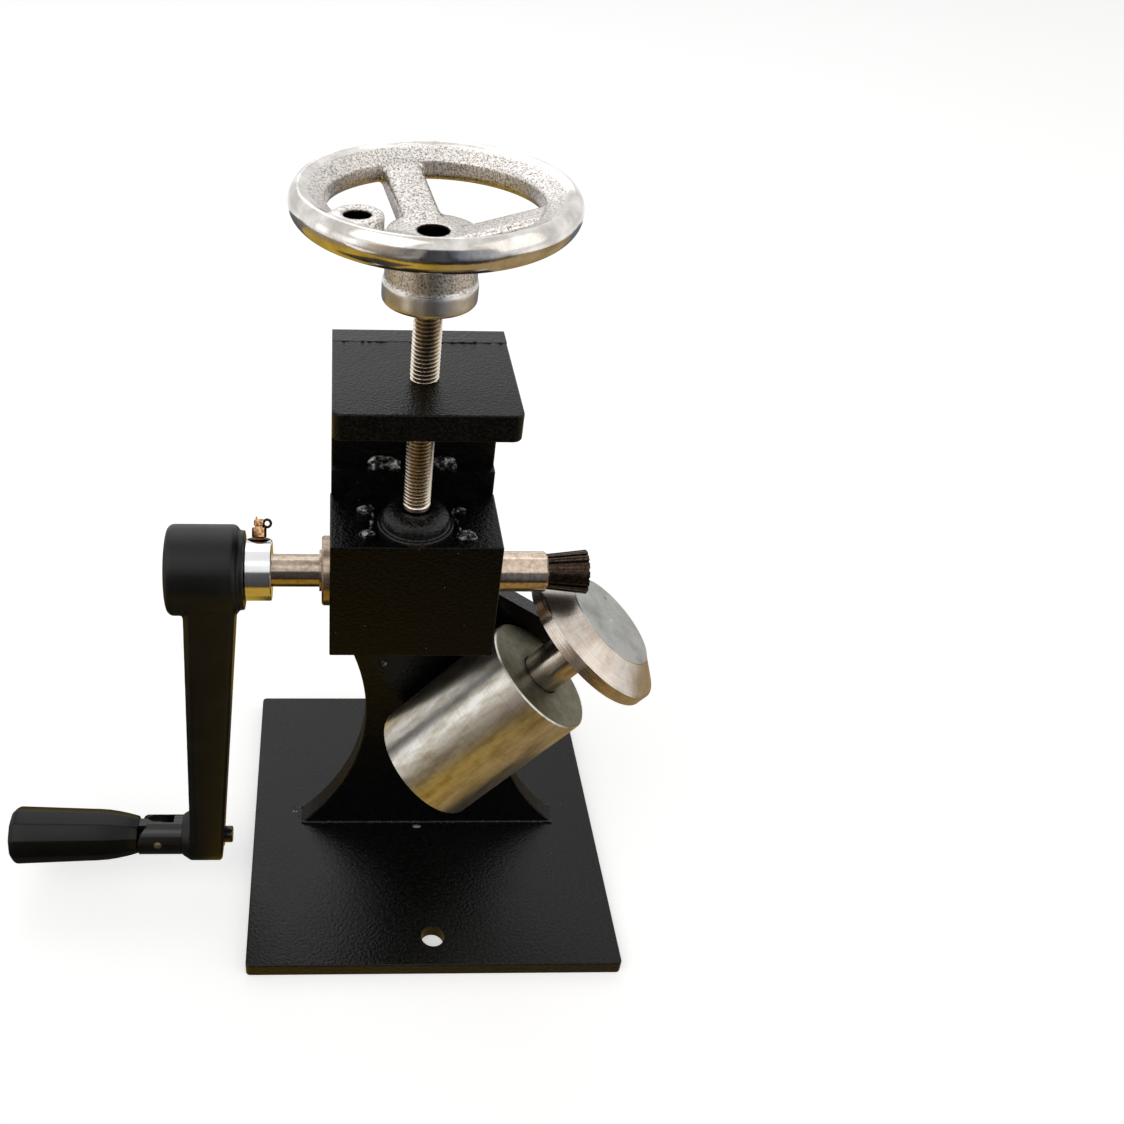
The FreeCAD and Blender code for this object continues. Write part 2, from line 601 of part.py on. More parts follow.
# ================================================================ tilted anvil unit
def anvil_housing():
    """A turned cylinder with a bearing bore open at the rear and a wall at the front."""
    outer = HOUSING_DIAMETER / 2
    bevel = HOUSING_EDGE_BEVEL
    body = turned([
        (0, 0), (outer - bevel, 0), (outer, -bevel), (outer, bevel - HOUSING_LENGTH),
        (outer - bevel, -HOUSING_LENGTH), (0, -HOUSING_LENGTH),
    ])
    down = V(0, 0, -1)
    body = body.cut(rod(V(0, 0, 0), down, SPINDLE_DIAMETER + 2 * OPEN_CLEARANCE, HOUSING_FRONT_WALL))
    bore_length = HOUSING_LENGTH - HOUSING_FRONT_WALL
    body = body.cut(rod(V(0, 0, FRONT_BEARING_END), down, BEARING_OUTER, bore_length))
    relief = BEARING_OUTER - 2 * BEARING_LAND
    body = body.cut(rod(V(0, 0, FRONT_BEARING_END + RACE_RELIEF), down, relief, RACE_RELIEF))
    cap_start = END_CAP_THICKNESS - HOUSING_LENGTH
    body = body.cut(rod(V(0, 0, cap_start), down, END_CAP_DIAMETER, END_CAP_THICKNESS))
    groove = BEARING_OUTER + 2 * CIRCLIP_BITE
    body = body.cut(rod(V(0, 0, REAR_BEARING_END), down, groove, CIRCLIP_THICKNESS))
    return tilted(body)


def housing_end_cap():
    start = V(0, 0, END_CAP_THICKNESS - HOUSING_LENGTH)
    return tilted(rod(start, V(0, 0, -1), END_CAP_DIAMETER, END_CAP_THICKNESS))


def housing_welds():
    """Two beads that fill the wedge between the housing and the column's front."""
    wall = HOUSING_DIAMETER / 2
    depth = wall - math.sqrt(wall ** 2 - HOUSING_WELD_FAR ** 2)
    start = HOUSING_WELD_MARGIN - HOUSING_LENGTH
    barrel = rod(V(0, 0, -HOUSING_LENGTH), Z_AXIS, HOUSING_DIAMETER, HOUSING_LENGTH)
    backed = column_outline().extrude(V(0, -HOUSING_DIAMETER, 0))
    beads = []
    for side in (-1, 1):
        low, high = sorted((side * HOUSING_WELD_NEAR, side * HOUSING_WELD_FAR))
        bead = box(low, high, wall - depth, wall, start, -HOUSING_WELD_MARGIN).cut(barrel)
        beads.append(tilted(bead).common(backed))
    return group(beads)


def raceway_torus(grow):
    """The ring that a bearing's balls run in, at the middle of a bearing that starts at 0."""
    pitch = (BEARING_BORE + BEARING_OUTER) / 4
    return Part.makeTorus(pitch, BALL_DIAMETER / 2 + grow, V(0, 0, -BEARING_WIDTH / 2), Z_AXIS)


def outer_race(start):
    race = ring(V(0, 0, 0), V(0, 0, -1), BEARING_OUTER, BEARING_OUTER - 2 * BEARING_LAND, BEARING_WIDTH)
    race = race.cut(raceway_torus(0))
    race.translate(V(0, 0, start))
    return tilted(race)


def inner_race(start):
    race = ring(V(0, 0, 0), V(0, 0, -1), BEARING_BORE + 2 * BEARING_LAND, BEARING_BORE, BEARING_WIDTH)
    race = race.cut(raceway_torus(RUNNING_CLEARANCE))
    race.translate(V(0, 0, start))
    return tilted(race)


def bearing_balls(start):
    pitch = (BEARING_BORE + BEARING_OUTER) / 4
    balls = []
    for index in range(BALL_COUNT):
        angle = 2 * math.pi * index / BALL_COUNT
        centre = V(pitch * math.cos(angle), pitch * math.sin(angle), start - BEARING_WIDTH / 2)
        balls.append(tilted(Part.makeSphere(BALL_DIAMETER / 2, centre)))
    return group(balls)


def outer_spacer():
    start = V(0, 0, FRONT_BEARING_END - BEARING_WIDTH)
    bore = BEARING_OUTER - 2 * SPACER_WALL
    return tilted(ring(start, V(0, 0, -1), BEARING_OUTER, bore, SPACER_LENGTH))


def inner_spacer():
    start = V(0, 0, FRONT_BEARING_END - BEARING_WIDTH)
    outer = BEARING_BORE + 2 * SPACER_WALL
    return tilted(ring(start, V(0, 0, -1), outer, BEARING_BORE, SPACER_LENGTH))


def split_ring(outer, inner, start):
    """A flat spring ring with a gap in it."""
    clip = ring(V(0, 0, start), V(0, 0, -1), outer, inner, CIRCLIP_THICKNESS)
    gap = CIRCLIP_HEIGHT
    cutter = box(0, outer, -gap / 2, gap / 2, start - CIRCLIP_THICKNESS, start)
    return tilted(clip.cut(cutter))


def housing_circlip():
    outer = BEARING_OUTER + 2 * CIRCLIP_BITE
    return split_ring(outer, BEARING_OUTER - 2 * CIRCLIP_HEIGHT, REAR_BEARING_END)


def spindle_circlip():
    inner = BEARING_BORE - 2 * CIRCLIP_BITE
    return split_ring(BEARING_BORE + 2 * CIRCLIP_HEIGHT, inner, REAR_BEARING_END)


def anvil_spindle():
    """A stepped spindle: a bearing length, a visible neck and a stub that holds the disc."""
    journal = BEARING_BORE / 2
    neck = SPINDLE_DIAMETER / 2
    stub = SPINDLE_STUB_DIAMETER / 2
    groove = journal - CIRCLIP_BITE
    groove_end = REAR_BEARING_END - CIRCLIP_THICKNESS
    return tilted(turned([
        (0, SPINDLE_END), (journal - SPINDLE_END_BEVEL, SPINDLE_END),
        (journal, SPINDLE_END + SPINDLE_END_BEVEL), (journal, groove_end),
        (groove, groove_end), (groove, REAR_BEARING_END), (journal, REAR_BEARING_END),
        (journal, FRONT_BEARING_END), (neck, FRONT_BEARING_END), (neck, SPINDLE_REACH),
        (stub, SPINDLE_REACH), (stub, SPINDLE_STUB_END), (0, SPINDLE_STUB_END),
    ]))


def anvil_disc():
    """A disc with a plain rim, a cone that faces the roller, and a slightly raised flat face."""
    rim = DISC_DIAMETER / 2
    face = DISC_FACE_DIAMETER / 2
    step_end = FACE_STEP_START + DISC_FACE_STEP
    pit = DISC_CENTRE_PIT / 2
    stub = SPINDLE_STUB_DIAMETER / 2
    bevel = DISC_FACE_STEP / 2
    return tilted(turned([
        (stub, SPINDLE_REACH), (rim - bevel, SPINDLE_REACH), (rim, SPINDLE_REACH + bevel),
        (rim, RIM_FRONT), (face, FACE_STEP_START), (face, step_end - bevel), (face - bevel, step_end),
        (pit, step_end), (0, step_end - pit), (0, SPINDLE_STUB_END), (stub, SPINDLE_STUB_END),
    ]))


# ================================================================ sliding block
def bearing_block():
    block = box(BLOCK_LEFT, BLOCK_RIGHT, BLOCK_FRONT, BLOCK_BACK, BLOCK_BOTTOM, BLOCK_TOP)
    block = block.makeFillet(EDGE_ROUND, edges_where(block, lambda p: p.y < BLOCK_BACK - TOUCH))
    block = block.cut(dovetail_prism(BLOCK_BOTTOM, BLOCK_TOP, SLIDE_CLEARANCE))
    left = V(BLOCK_LEFT, AXIS_Y, SHAFT_HEIGHT)
    right = V(BLOCK_RIGHT, AXIS_Y, SHAFT_HEIGHT)
    block = block.cut(rod(left, X_AXIS, LEFT_BUSH_OUTER, BUSH_LENGTH))
    between = BLOCK_WIDTH - 2 * BUSH_LENGTH
    relief = ROLLER_JOURNAL + 2 * BLOCK_BORE_RELIEF
    block = block.cut(rod(left + X_AXIS * BUSH_LENGTH, X_AXIS, relief, between))
    block = block.cut(rod(right, -X_AXIS, RIGHT_BUSH_OUTER, BUSH_LENGTH))
    pocket = SCREW_HEAD_DIAMETER + 2 * OPEN_CLEARANCE
    return block.cut(screw_hole(THRUST_PAD_BOTTOM, BLOCK_TOP - THRUST_PAD_BOTTOM, pocket))


def crank_side_bush():
    """A flanged bush, its flange on the block's crank side."""
    bore = CRANK_JOURNAL + 2 * RUNNING_CLEARANCE
    left = V(BLOCK_LEFT, AXIS_Y, SHAFT_HEIGHT)
    body = rod(left, X_AXIS, LEFT_BUSH_OUTER, BUSH_LENGTH)
    flange = rod(left, -X_AXIS, BUSH_FLANGE_DIAMETER, BUSH_FLANGE_THICKNESS)
    outer = edges_where(flange, lambda p: p.x < BUSH_FLANGE_FACE + TOUCH)
    flange = flange.makeChamfer(EDGE_ROUND, outer)
    length = BUSH_LENGTH + BUSH_FLANGE_THICKNESS
    start = on_shaft(BUSH_FLANGE_FACE)
    return body.fuse(flange).cut(rod(start, X_AXIS, bore, length)).removeSplitter()


def roller_side_bush():
    right = V(BLOCK_RIGHT, AXIS_Y, SHAFT_HEIGHT)
    return ring(right, -X_AXIS, RIGHT_BUSH_OUTER, ROLLER_JOURNAL + 2 * RUNNING_CLEARANCE, BUSH_LENGTH)


def thrust_pad():
    """The bronze pad that the pressure screw's head turns on."""
    return screw_hole(THRUST_PAD_BOTTOM, THRUST_PAD_THICKNESS, SCREW_HEAD_DIAMETER + 2 * OPEN_CLEARANCE)


def thrust_hub():
    """The flanged cap that keeps the screw's head in the block."""
    flange = HUB_FLANGE_DIAMETER / 2
    crown = HUB_CROWN_DIAMETER / 2
    top = HUB_CROWN_TOP_DIAMETER / 2
    bore = SCREW_DIAMETER / 2 + OPEN_CLEARANCE
    height = HUB_FLANGE_THICKNESS + HUB_CROWN_HEIGHT
    hub = turned([
        (bore, 0), (flange, 0), (flange, HUB_FLANGE_THICKNESS), (crown, HUB_FLANGE_THICKNESS),
        (crown, HUB_FLANGE_THICKNESS + HUB_CROWN_WALL), (top, height), (bore, height),
    ])
    hub.translate(V(HEAD_CENTRE, AXIS_Y, BLOCK_TOP))
    return hub


def hub_tack_welds():
    """Four lumps of weld beside the hub's flange."""
    above = box(BLOCK_LEFT, BLOCK_RIGHT, BLOCK_FRONT, BLOCK_BACK, BLOCK_TOP, BLOCK_TOP + TACK_RADIUS)
    hub = thrust_hub()
    lumps = []
    for side in (-1, 1):
        for row in (-1, 1):
            across = HEAD_CENTRE + side * TACK_SPACING_X / 2
            centre = V(across, AXIS_Y + row * TACK_SPACING_Y / 2, BLOCK_TOP)
            lumps.append(Part.makeSphere(TACK_RADIUS, centre).common(above).cut(hub))
    return group(lumps)


# ================================================================ pressure screw and handwheel
def pressure_screw():
    """A screw whose head is held in the block; the handwheel sits on its top."""
    major = SCREW_DIAMETER / 2
    neck = SCREW_NECK_DIAMETER / 2
    head = SCREW_HEAD_DIAMETER / 2
    head_top = SCREW_BOTTOM + SCREW_HEAD_HEIGHT
    bevel = SCREW_END_BEVEL
    screw = turned([
        (0, SCREW_BOTTOM), (head, SCREW_BOTTOM), (head, head_top), (neck, head_top),
        (neck, SCREW_THREAD_START - bevel / 2), (major, SCREW_THREAD_START + bevel / 2),
        (major, SCREW_TOP - bevel), (major - bevel, SCREW_TOP), (0, SCREW_TOP),
    ])
    screw.translate(V(HEAD_CENTRE, AXIS_Y, 0))
    return screw


def wheel_spoke(angle):
    """A sloping bar from the hub's top up to the rim's inner wall."""
    inner = WHEEL_HUB_DIAMETER / 2 - SPOKE_HUB_OVERLAP
    outer = WHEEL_RIM_INNER / 2 + SPOKE_ROUND
    rim_top = WHEEL_RIM_HEIGHT + WHEEL_RIM_SECTION / 2 - SPOKE_RIM_DROP
    half = SPOKE_WIDTH / 2
    bar = prism([
        V(inner, -half, WHEEL_HUB_TOP - SPOKE_THICKNESS), V(inner, -half, WHEEL_HUB_TOP),
        V(outer, -half, rim_top), V(outer, -half, rim_top - SPOKE_THICKNESS),
    ], V(0, SPOKE_WIDTH, 0))
    bar = bar.makeFillet(SPOKE_ROUND, edges_where(bar, lambda p: inner + TOUCH < p.x < outer - TOUCH))
    bar.rotate(V(0, 0, 0), Z_AXIS, angle)
    return bar


def wheel_rim():
    """A round rim with a flat inner wall, its inner shoulder sloping down to the wall from a crest."""
    rim = Part.makeTorus(WHEEL_RIM_RADIUS, WHEEL_RIM_SECTION / 2, V(0, 0, WHEEL_RIM_HEIGHT), Z_AXIS)
    low = WHEEL_RIM_HEIGHT - WHEEL_RIM_SECTION / 2
    top = WHEEL_RIM_HEIGHT + WHEEL_RIM_SECTION / 2
    wall = WHEEL_RIM_INNER / 2
    crest = WHEEL_RIM_RADIUS + RIM_CREST_OUTSET
    return rim.cut(turned([
        (0, low), (wall, low), (wall, RIM_CREST_HEIGHT - RIM_SLOPE_DROP), (crest, RIM_CREST_HEIGHT),
        (crest, top), (0, top),
    ]))


def handwheel():
    """A dished cast wheel: its rim, three spokes, a hub with a turned skirt and a handle's boss."""
    hub = WHEEL_HUB_DIAMETER / 2
    skirt = WHEEL_SKIRT_DIAMETER / 2
    skirt_top = WHEEL_HUB_BOTTOM + WHEEL_SKIRT_HEIGHT
    wheel = turned([
        (0, WHEEL_HUB_BOTTOM), (skirt - EDGE_ROUND, WHEEL_HUB_BOTTOM),
        (skirt, WHEEL_HUB_BOTTOM + EDGE_ROUND), (skirt, skirt_top), (hub, skirt_top),
        (hub, WHEEL_HUB_TOP - EDGE_ROUND), (hub - EDGE_ROUND, WHEEL_HUB_TOP), (0, WHEEL_HUB_TOP),
    ])
    for index in range(SPOKE_COUNT):
        wheel = wheel.fuse(wheel_spoke(SPOKE_FIRST_ANGLE + index * 360 / SPOKE_COUNT))
    boss_angle = math.radians(SPOKE_FIRST_ANGLE + 360 / SPOKE_COUNT)
    boss_x = WHEEL_HANDLE_HOLE_RADIUS * math.cos(boss_angle)
    boss_y = WHEEL_HANDLE_HOLE_RADIUS * math.sin(boss_angle)
    boss_bottom = V(boss_x, boss_y, WHEEL_HANDLE_BOSS_TOP - WHEEL_HANDLE_BOSS_HEIGHT)
    boss = rod(boss_bottom, Z_AXIS, WHEEL_HANDLE_BOSS, WHEEL_HANDLE_BOSS_HEIGHT)
    wheel = wheel.fuse(wheel_rim()).fuse(boss)
    hole_bottom = V(boss_x, boss_y, WHEEL_HUB_BOTTOM)
    wheel = wheel.cut(rod(hole_bottom, Z_AXIS, WHEEL_HANDLE_HOLE, WHEEL_DIAMETER))
    wheel = wheel.cut(rod(V(0, 0, WHEEL_HUB_BOTTOM), Z_AXIS, SCREW_DIAMETER, WHEEL_HUB_HEIGHT))
    wheel = wheel.cut(rod(grub_start(), Y_AXIS, GRUB_DIAMETER, WHEEL_SKIRT_DIAMETER))
    wheel.translate(V(HEAD_CENTRE, AXIS_Y, 0))
    return wheel


def grub_start():
    """Where the wheel's grub screw meets the pressure screw, before the wheel is put in place."""
    return V(0, SCREW_DIAMETER / 2, WHEEL_HUB_BOTTOM + WHEEL_SKIRT_HEIGHT / 2)


def handwheel_grub_screw():
    tip = grub_start()
    screw = rod(tip, Y_AXIS, GRUB_DIAMETER, GRUB_LENGTH)
    socket = rod(tip + Y_AXIS * (GRUB_LENGTH - GRUB_SOCKET), Y_AXIS, GRUB_SOCKET, GRUB_SOCKET)
    screw = screw.cut(socket).cut(rod(V(0, 0, 0), Z_AXIS, SCREW_DIAMETER, WHEEL_HUB_TOP))
    screw.translate(V(HEAD_CENTRE, AXIS_Y, 0))
    return screw


# ================================================================ crank shaft and roller
def on_shaft(x):
    """A point on the crank shaft's axis."""
    return V(x, AXIS_Y, SHAFT_HEIGHT)


def crank_shaft():
    """The stepped shaft, with keyways for the crank and the roller.

    The bevel on its shoulder leaves room for the disc's rim when the roller is wound right down.
    """
    shaft = rod(on_shaft(CRANK_BORE_END), X_AXIS, CRANK_JOURNAL, SHAFT_STEP_X - CRANK_BORE_END)
    thick = rod(on_shaft(SHAFT_STEP_X), X_AXIS, ROLLER_JOURNAL, ROLLER_START - SHAFT_STEP_X)
    shoulder = edges_where(thick, lambda p: p.x > ROLLER_START - TOUCH)
    shaft = shaft.fuse(thick.makeChamfer(SHAFT_SHOULDER_BEVEL, shoulder))
    stub_length = ROLLER_LENGTH - ROLLER_SCREW_HEAD_HEIGHT
    shaft = shaft.fuse(rod(on_shaft(ROLLER_START), X_AXIS, ROLLER_BORE, stub_length)).removeSplitter()
    shaft = shaft.cut(group([crank_key(), roller_key(), shaft_clip_groove()]))
    tapped = rod(on_shaft(ROLLER_START + stub_length), -X_AXIS, ROLLER_SCREW_DIAMETER, ROLLER_SCREW_LENGTH)
    return shaft.cut(tapped).cut(crank_end_screw_blank())


def shaft_clip_groove():
    inner = CRANK_JOURNAL - 2 * SHAFT_CLIP_BITE
    return ring(on_shaft(SHAFT_CLIP_END), -X_AXIS, SHAFT_CLIP_DIAMETER, inner, SHAFT_CLIP_THICKNESS)


def shaft_circlip():
    """The spring ring that stops the shaft from sliding out towards the roller."""
    half = SHAFT_CLIP_GAP / 2
    far = AXIS_Y + SHAFT_CLIP_DIAMETER
    gap = box(SHAFT_CLIP_END - SHAFT_CLIP_THICKNESS, SHAFT_CLIP_END, AXIS_Y, far,
              SHAFT_HEIGHT - half, SHAFT_HEIGHT + half)
    return shaft_clip_groove().cut(gap)


def crank_key():
    """A key sunk half into the shaft and half into the crank's sleeve."""
    half = CRANK_KEY_SIZE / 2
    middle = SHAFT_HEIGHT - CRANK_JOURNAL / 2
    end = CRANK_BORE_END + CRANK_KEY_LENGTH
    return box(CRANK_BORE_END, end, AXIS_Y - half, AXIS_Y + half, middle - half, middle + half)


def roller_key():
    half = ROLLER_KEY_SIZE / 2
    middle = SHAFT_HEIGHT + ROLLER_BORE / 2
    end = ROLLER_START + ROLLER_LENGTH / 2
    return box(ROLLER_START, end, AXIS_Y - half, AXIS_Y + half, middle - half, middle + half)


def roller_groove(width, depth, angle):
    """A square groove as deep all along the roller, at an angle about the shaft from straight up."""
    half = width / 2
    end = ROLLER_START + ROLLER_LENGTH
    groove = prism([
        V(ROLLER_START, -half, ROLLER_SMALL_RADIUS - depth), V(end, -half, ROLLER_DIAMETER / 2 - depth),
        V(end, -half, ROLLER_DIAMETER), V(ROLLER_START, -half, ROLLER_DIAMETER),
    ], V(0, width, 0))
    groove.rotate(V(0, 0, 0), X_AXIS, angle)
    groove.translate(V(0, AXIS_Y, SHAFT_HEIGHT))
    return groove


def embossing_roller():
    """A tapered roller with deep grooves along it and a fine line along each rib."""
    start = on_shaft(ROLLER_START)
    body = Part.makeCone(ROLLER_SMALL_RADIUS, ROLLER_DIAMETER / 2, ROLLER_LENGTH, start, X_AXIS)
    grooves = []
    for index in range(RIB_COUNT):
        angle = 360 * index / RIB_COUNT
        grooves.append(roller_groove(RIB_GROOVE_WIDTH, RIB_GROOVE_DEPTH, angle))
        grooves.append(roller_groove(RIB_LINE_WIDTH, RIB_LINE_DEPTH, angle + 180 / RIB_COUNT))
    body = body.cut(group(grooves))
    body = body.cut(rod(start, X_AXIS, ROLLER_BORE, ROLLER_LENGTH))
    end = on_shaft(ROLLER_START + ROLLER_LENGTH)
    head_room = ROLLER_SCREW_HEAD + 2 * OPEN_CLEARANCE
    body = body.cut(rod(end, -X_AXIS, head_room, ROLLER_SCREW_HEAD_HEIGHT))
    return body.cut(roller_key())


def roller_screw():
    """The low-headed screw in the shaft's end, its head inside the roller."""
    face = ROLLER_START + ROLLER_LENGTH - ROLLER_SCREW_HEAD_HEIGHT
    head = rod(on_shaft(face), X_AXIS, ROLLER_SCREW_HEAD, ROLLER_SCREW_HEAD_HEIGHT)
    shank = rod(on_shaft(face), -X_AXIS, ROLLER_SCREW_DIAMETER, ROLLER_SCREW_LENGTH)
    socket_depth = ROLLER_SCREW_HEAD_HEIGHT / 2
    socket = rod(on_shaft(face + socket_depth), X_AXIS, ROLLER_SCREW_DIAMETER / 2, socket_depth)
    return head.fuse(shank).cut(socket)


def collar_seat_height():
    """The flat on the collar's top that the eye screw's flange sits on."""
    return SHAFT_HEIGHT + COLLAR_DIAMETER / 2 - EYE_SEAT_DEPTH


def shaft_collar():
    collar = ring(on_shaft(COLLAR_LEFT), X_AXIS, COLLAR_DIAMETER, CRANK_JOURNAL, COLLAR_WIDTH)
    ends = (COLLAR_LEFT, COLLAR_LEFT + COLLAR_WIDTH)
    rim = COLLAR_DIAMETER / 2 - TOUCH
    outer = edges_where(collar, lambda p: (p - on_shaft(p.x)).Length > rim and near_any(p.x, ends))
    collar = collar.makeChamfer(EDGE_ROUND / 2, outer)
    seat = V(COLLAR_MIDDLE, AXIS_Y, collar_seat_height())
    collar = collar.cut(rod(seat, Z_AXIS, EYE_SCREW_FLANGE, COLLAR_DIAMETER))
    collar = collar.cut(rod(on_shaft(COLLAR_MIDDLE), Z_AXIS, EYE_SCREW_THREAD, COLLAR_DIAMETER))
    return leaned_back(collar)


def leaned_back(shape):
    """Turn the collar's pieces about the shaft, so that its screw leans to the back."""
    turned_shape = shape.copy()
    turned_shape.rotate(on_shaft(0), X_AXIS, -EYE_SCREW_ANGLE)
    return turned_shape


def collar_eye_screw():
    """A brass thumb screw: thread, flange, coned neck, tip and a small open ring at its side."""
    seat = collar_seat_height()
    thread = EYE_SCREW_THREAD / 2
    flange = EYE_SCREW_FLANGE / 2
    flange_top = seat + EYE_SCREW_FLANGE_HEIGHT
    cone_top = flange_top + EYE_SCREW_CONE_HEIGHT
    tip = EYE_SCREW_TIP / 2
    screw = turned([
        (0, SHAFT_HEIGHT), (thread, SHAFT_HEIGHT), (thread, seat), (flange, seat), (flange, flange_top),
        (EYE_SCREW_CONE_BASE / 2, flange_top), (EYE_SCREW_CONE_TOP / 2, cone_top), (tip, cone_top),
        (tip, cone_top + EYE_SCREW_TIP_HEIGHT), (0, cone_top + EYE_SCREW_TIP_HEIGHT),
    ])
    screw.translate(V(COLLAR_MIDDLE, AXIS_Y, 0))
    screw = screw.cut(rod(on_shaft(COLLAR_LEFT), X_AXIS, CRANK_JOURNAL, COLLAR_WIDTH))
    ring_x = COLLAR_MIDDLE + tip + EYE_RING_DIAMETER / 2 - EYE_RING_WIRE / 2
    centre = V(ring_x, AXIS_Y, cone_top + EYE_RING_ABOVE_CONE)
    wire_path = (EYE_RING_DIAMETER - EYE_RING_WIRE) / 2
    return leaned_back(screw.fuse(Part.makeTorus(wire_path, EYE_RING_WIRE / 2, centre, Y_AXIS)))


# ================================================================ crank
def arm_x(root, tip, height):
    """Where one side of the leaning arm lies at a height."""
    return root + (tip - root) * (SHAFT_HEIGHT - height) / CRANK_RADIUS


def arm_lean():
    """The arm seen along Y: it leans outwards on its way down to the handle."""
    low = HANDLE_HEIGHT - ARM_TIP_WIDTH
    front = AXIS_Y - ARM_ROOT_WIDTH
    return prism([
        V(ARM_ROOT_OUTER, front, SHAFT_HEIGHT),
        V(ARM_ROOT_INNER, front, SHAFT_HEIGHT),
        V(arm_x(ARM_ROOT_INNER, ARM_TIP_INNER, low), front, low),
        V(arm_x(ARM_ROOT_OUTER, ARM_TIP_OUTER, low), front, low),
    ], V(0, 2 * ARM_ROOT_WIDTH, 0))


def arm_taper():
    """The arm seen along X: it narrows to a round tip about the handle."""
    root = ARM_ROOT_WIDTH / 2
    tip = ARM_TIP_WIDTH / 2
    angle = math.asin((root - tip) / CRANK_RADIUS)
    start = CRANK_HUB_END - ARM_ROOT_WIDTH
    corners = []
    for radius, height in ((root, SHAFT_HEIGHT), (tip, HANDLE_HEIGHT)):
        half = radius * math.cos(angle)
        level = height - radius * math.sin(angle)
        corners.append([V(start, AXIS_Y - half, level), V(start, AXIS_Y + half, level)])
    (top_front, top_back), (low_front, low_back) = corners
    bottom = V(start, AXIS_Y, HANDLE_HEIGHT - tip)
    outline = Part.Wire([
        Part.makeLine(top_front, low_front),
        Part.Arc(low_front, bottom, low_back).toShape(),
        Part.makeLine(low_back, top_back),
        Part.makeLine(top_back, top_front),
    ])
    return Part.Face(outline).extrude(V(ARM_ROOT_WIDTH - start, 0, 0))


def arm_side_edges(arm, root, tip):
    """The edges along one leaning side, but for the one hidden in the hub."""
    hidden = SHAFT_HEIGHT - ARM_ROOT_WIDTH / 2
    return edges_where(arm, lambda p: abs(p.x - arm_x(root, tip, p.z)) < TOUCH and p.z < hidden)


def crank_blank():
    """The arm, its hub with a lip, and the boss that the handle's fork stands on."""
    arm = arm_lean().common(arm_taper())
    arm = arm.makeChamfer(ARM_OUTER_BEVEL, arm_side_edges(arm, ARM_ROOT_OUTER, ARM_TIP_OUTER))
    arm = arm.makeChamfer(ARM_INNER_BEVEL, arm_side_edges(arm, ARM_ROOT_INNER, ARM_TIP_INNER))
    hub = rod(on_shaft(CRANK_HUB_END), X_AXIS, CRANK_HUB_DIAMETER, CRANK_HUB_LENGTH)
    ends = (CRANK_HUB_END, CRANK_HUB_INNER)
    hub = hub.makeFillet(CRANK_HUB_ROUND, edges_where(hub, lambda p: near_any(p.x, ends)))
    lip_start = CRANK_HUB_INNER - CRANK_LIP_LENGTH
    lip = rod(on_shaft(lip_start), X_AXIS, CRANK_LIP_DIAMETER, 2 * CRANK_LIP_LENGTH)
    tip = ARM_TIP_WIDTH / 2
    boss = Part.makeCone(ARM_BOSS_DIAMETER / 2, tip, ARM_BOSS_HEIGHT, on_handle(FORK_FACE), X_AXIS)
    boss_root = rod(on_handle(ARM_TIP_OUTER), X_AXIS, ARM_TIP_WIDTH, ARM_OUTER_BEVEL)
    return arm.fuse([hub, lip, boss, boss_root]).removeSplitter()


def crank_arm():
    crank = crank_blank()
    crank = crank.cut(rod(on_shaft(CRANK_BORE_END), X_AXIS, CRANK_SLEEVE_DIAMETER, CRANK_SLEEVE_LENGTH))
    seat = rod(on_handle(STUD_SEAT), X_AXIS, STUD_WASHER_DIAMETER + 2 * OPEN_CLEARANCE, ARM_TIP_WIDTH)
    return crank.cut([crank_end_screw_blank(), seat, fork_stud()])


def crank_sleeve():
    """The steel sleeve moulded into the hub, keyed to the shaft."""
    start = on_shaft(CRANK_BORE_END)
    sleeve = ring(start, X_AXIS, CRANK_SLEEVE_DIAMETER, CRANK_JOURNAL, CRANK_SLEEVE_LENGTH)
    return sleeve.cut(crank_key())


def crank_end_screw_blank():
    """The countersunk screw through the hub's closed end into the shaft, without its socket."""
    cone = (END_SCREW_HEAD - END_SCREW_DIAMETER) / 2
    face = on_shaft(CRANK_HUB_END)
    head = Part.makeCone(END_SCREW_HEAD / 2, END_SCREW_DIAMETER / 2, cone, face, X_AXIS)
    return head.fuse(rod(face, X_AXIS, END_SCREW_DIAMETER, END_SCREW_LENGTH))


def crank_end_screw():
    return crank_end_screw_blank().cut(
        rod(on_shaft(CRANK_HUB_END), X_AXIS, END_SCREW_SOCKET, END_SCREW_SOCKET))


# ================================================================ folding handle
def on_handle(x):
    """A point on the handle's axis."""
    return V(x, AXIS_Y, HANDLE_HEIGHT)


def rolled(shape):
    """Turn a shape about the handle's axis, so that the fork's slot opens up and back."""
    turned_shape = shape.copy()
    turned_shape.rotate(on_handle(0), X_AXIS, -FORK_ROLL_ANGLE)
    return turned_shape


def across_handle(diameter):
    """A round bar along Y through the handle's fold, as long as the fork is wide."""
    start = V(FOLD_X, AXIS_Y - FORK_DIAMETER / 2, HANDLE_HEIGHT)
    return rod(start, Y_AXIS, diameter, FORK_DIAMETER)


def fork_stud():
    """The fork's stud through the arm's tip, with a thinner end that stands out inside."""
    stud = rod(on_handle(FORK_FACE), X_AXIS, FORK_STUD_DIAMETER, STUD_SEAT - FORK_FACE)
    end = rod(on_handle(STUD_SEAT), X_AXIS, FORK_STUD_END_DIAMETER, FORK_STUD_END_LENGTH)
    tip = STUD_SEAT + FORK_STUD_END_LENGTH
    end = end.makeFillet(EDGE_ROUND, edges_where(end, lambda p: p.x > tip - TOUCH))
    return stud.fuse(end)


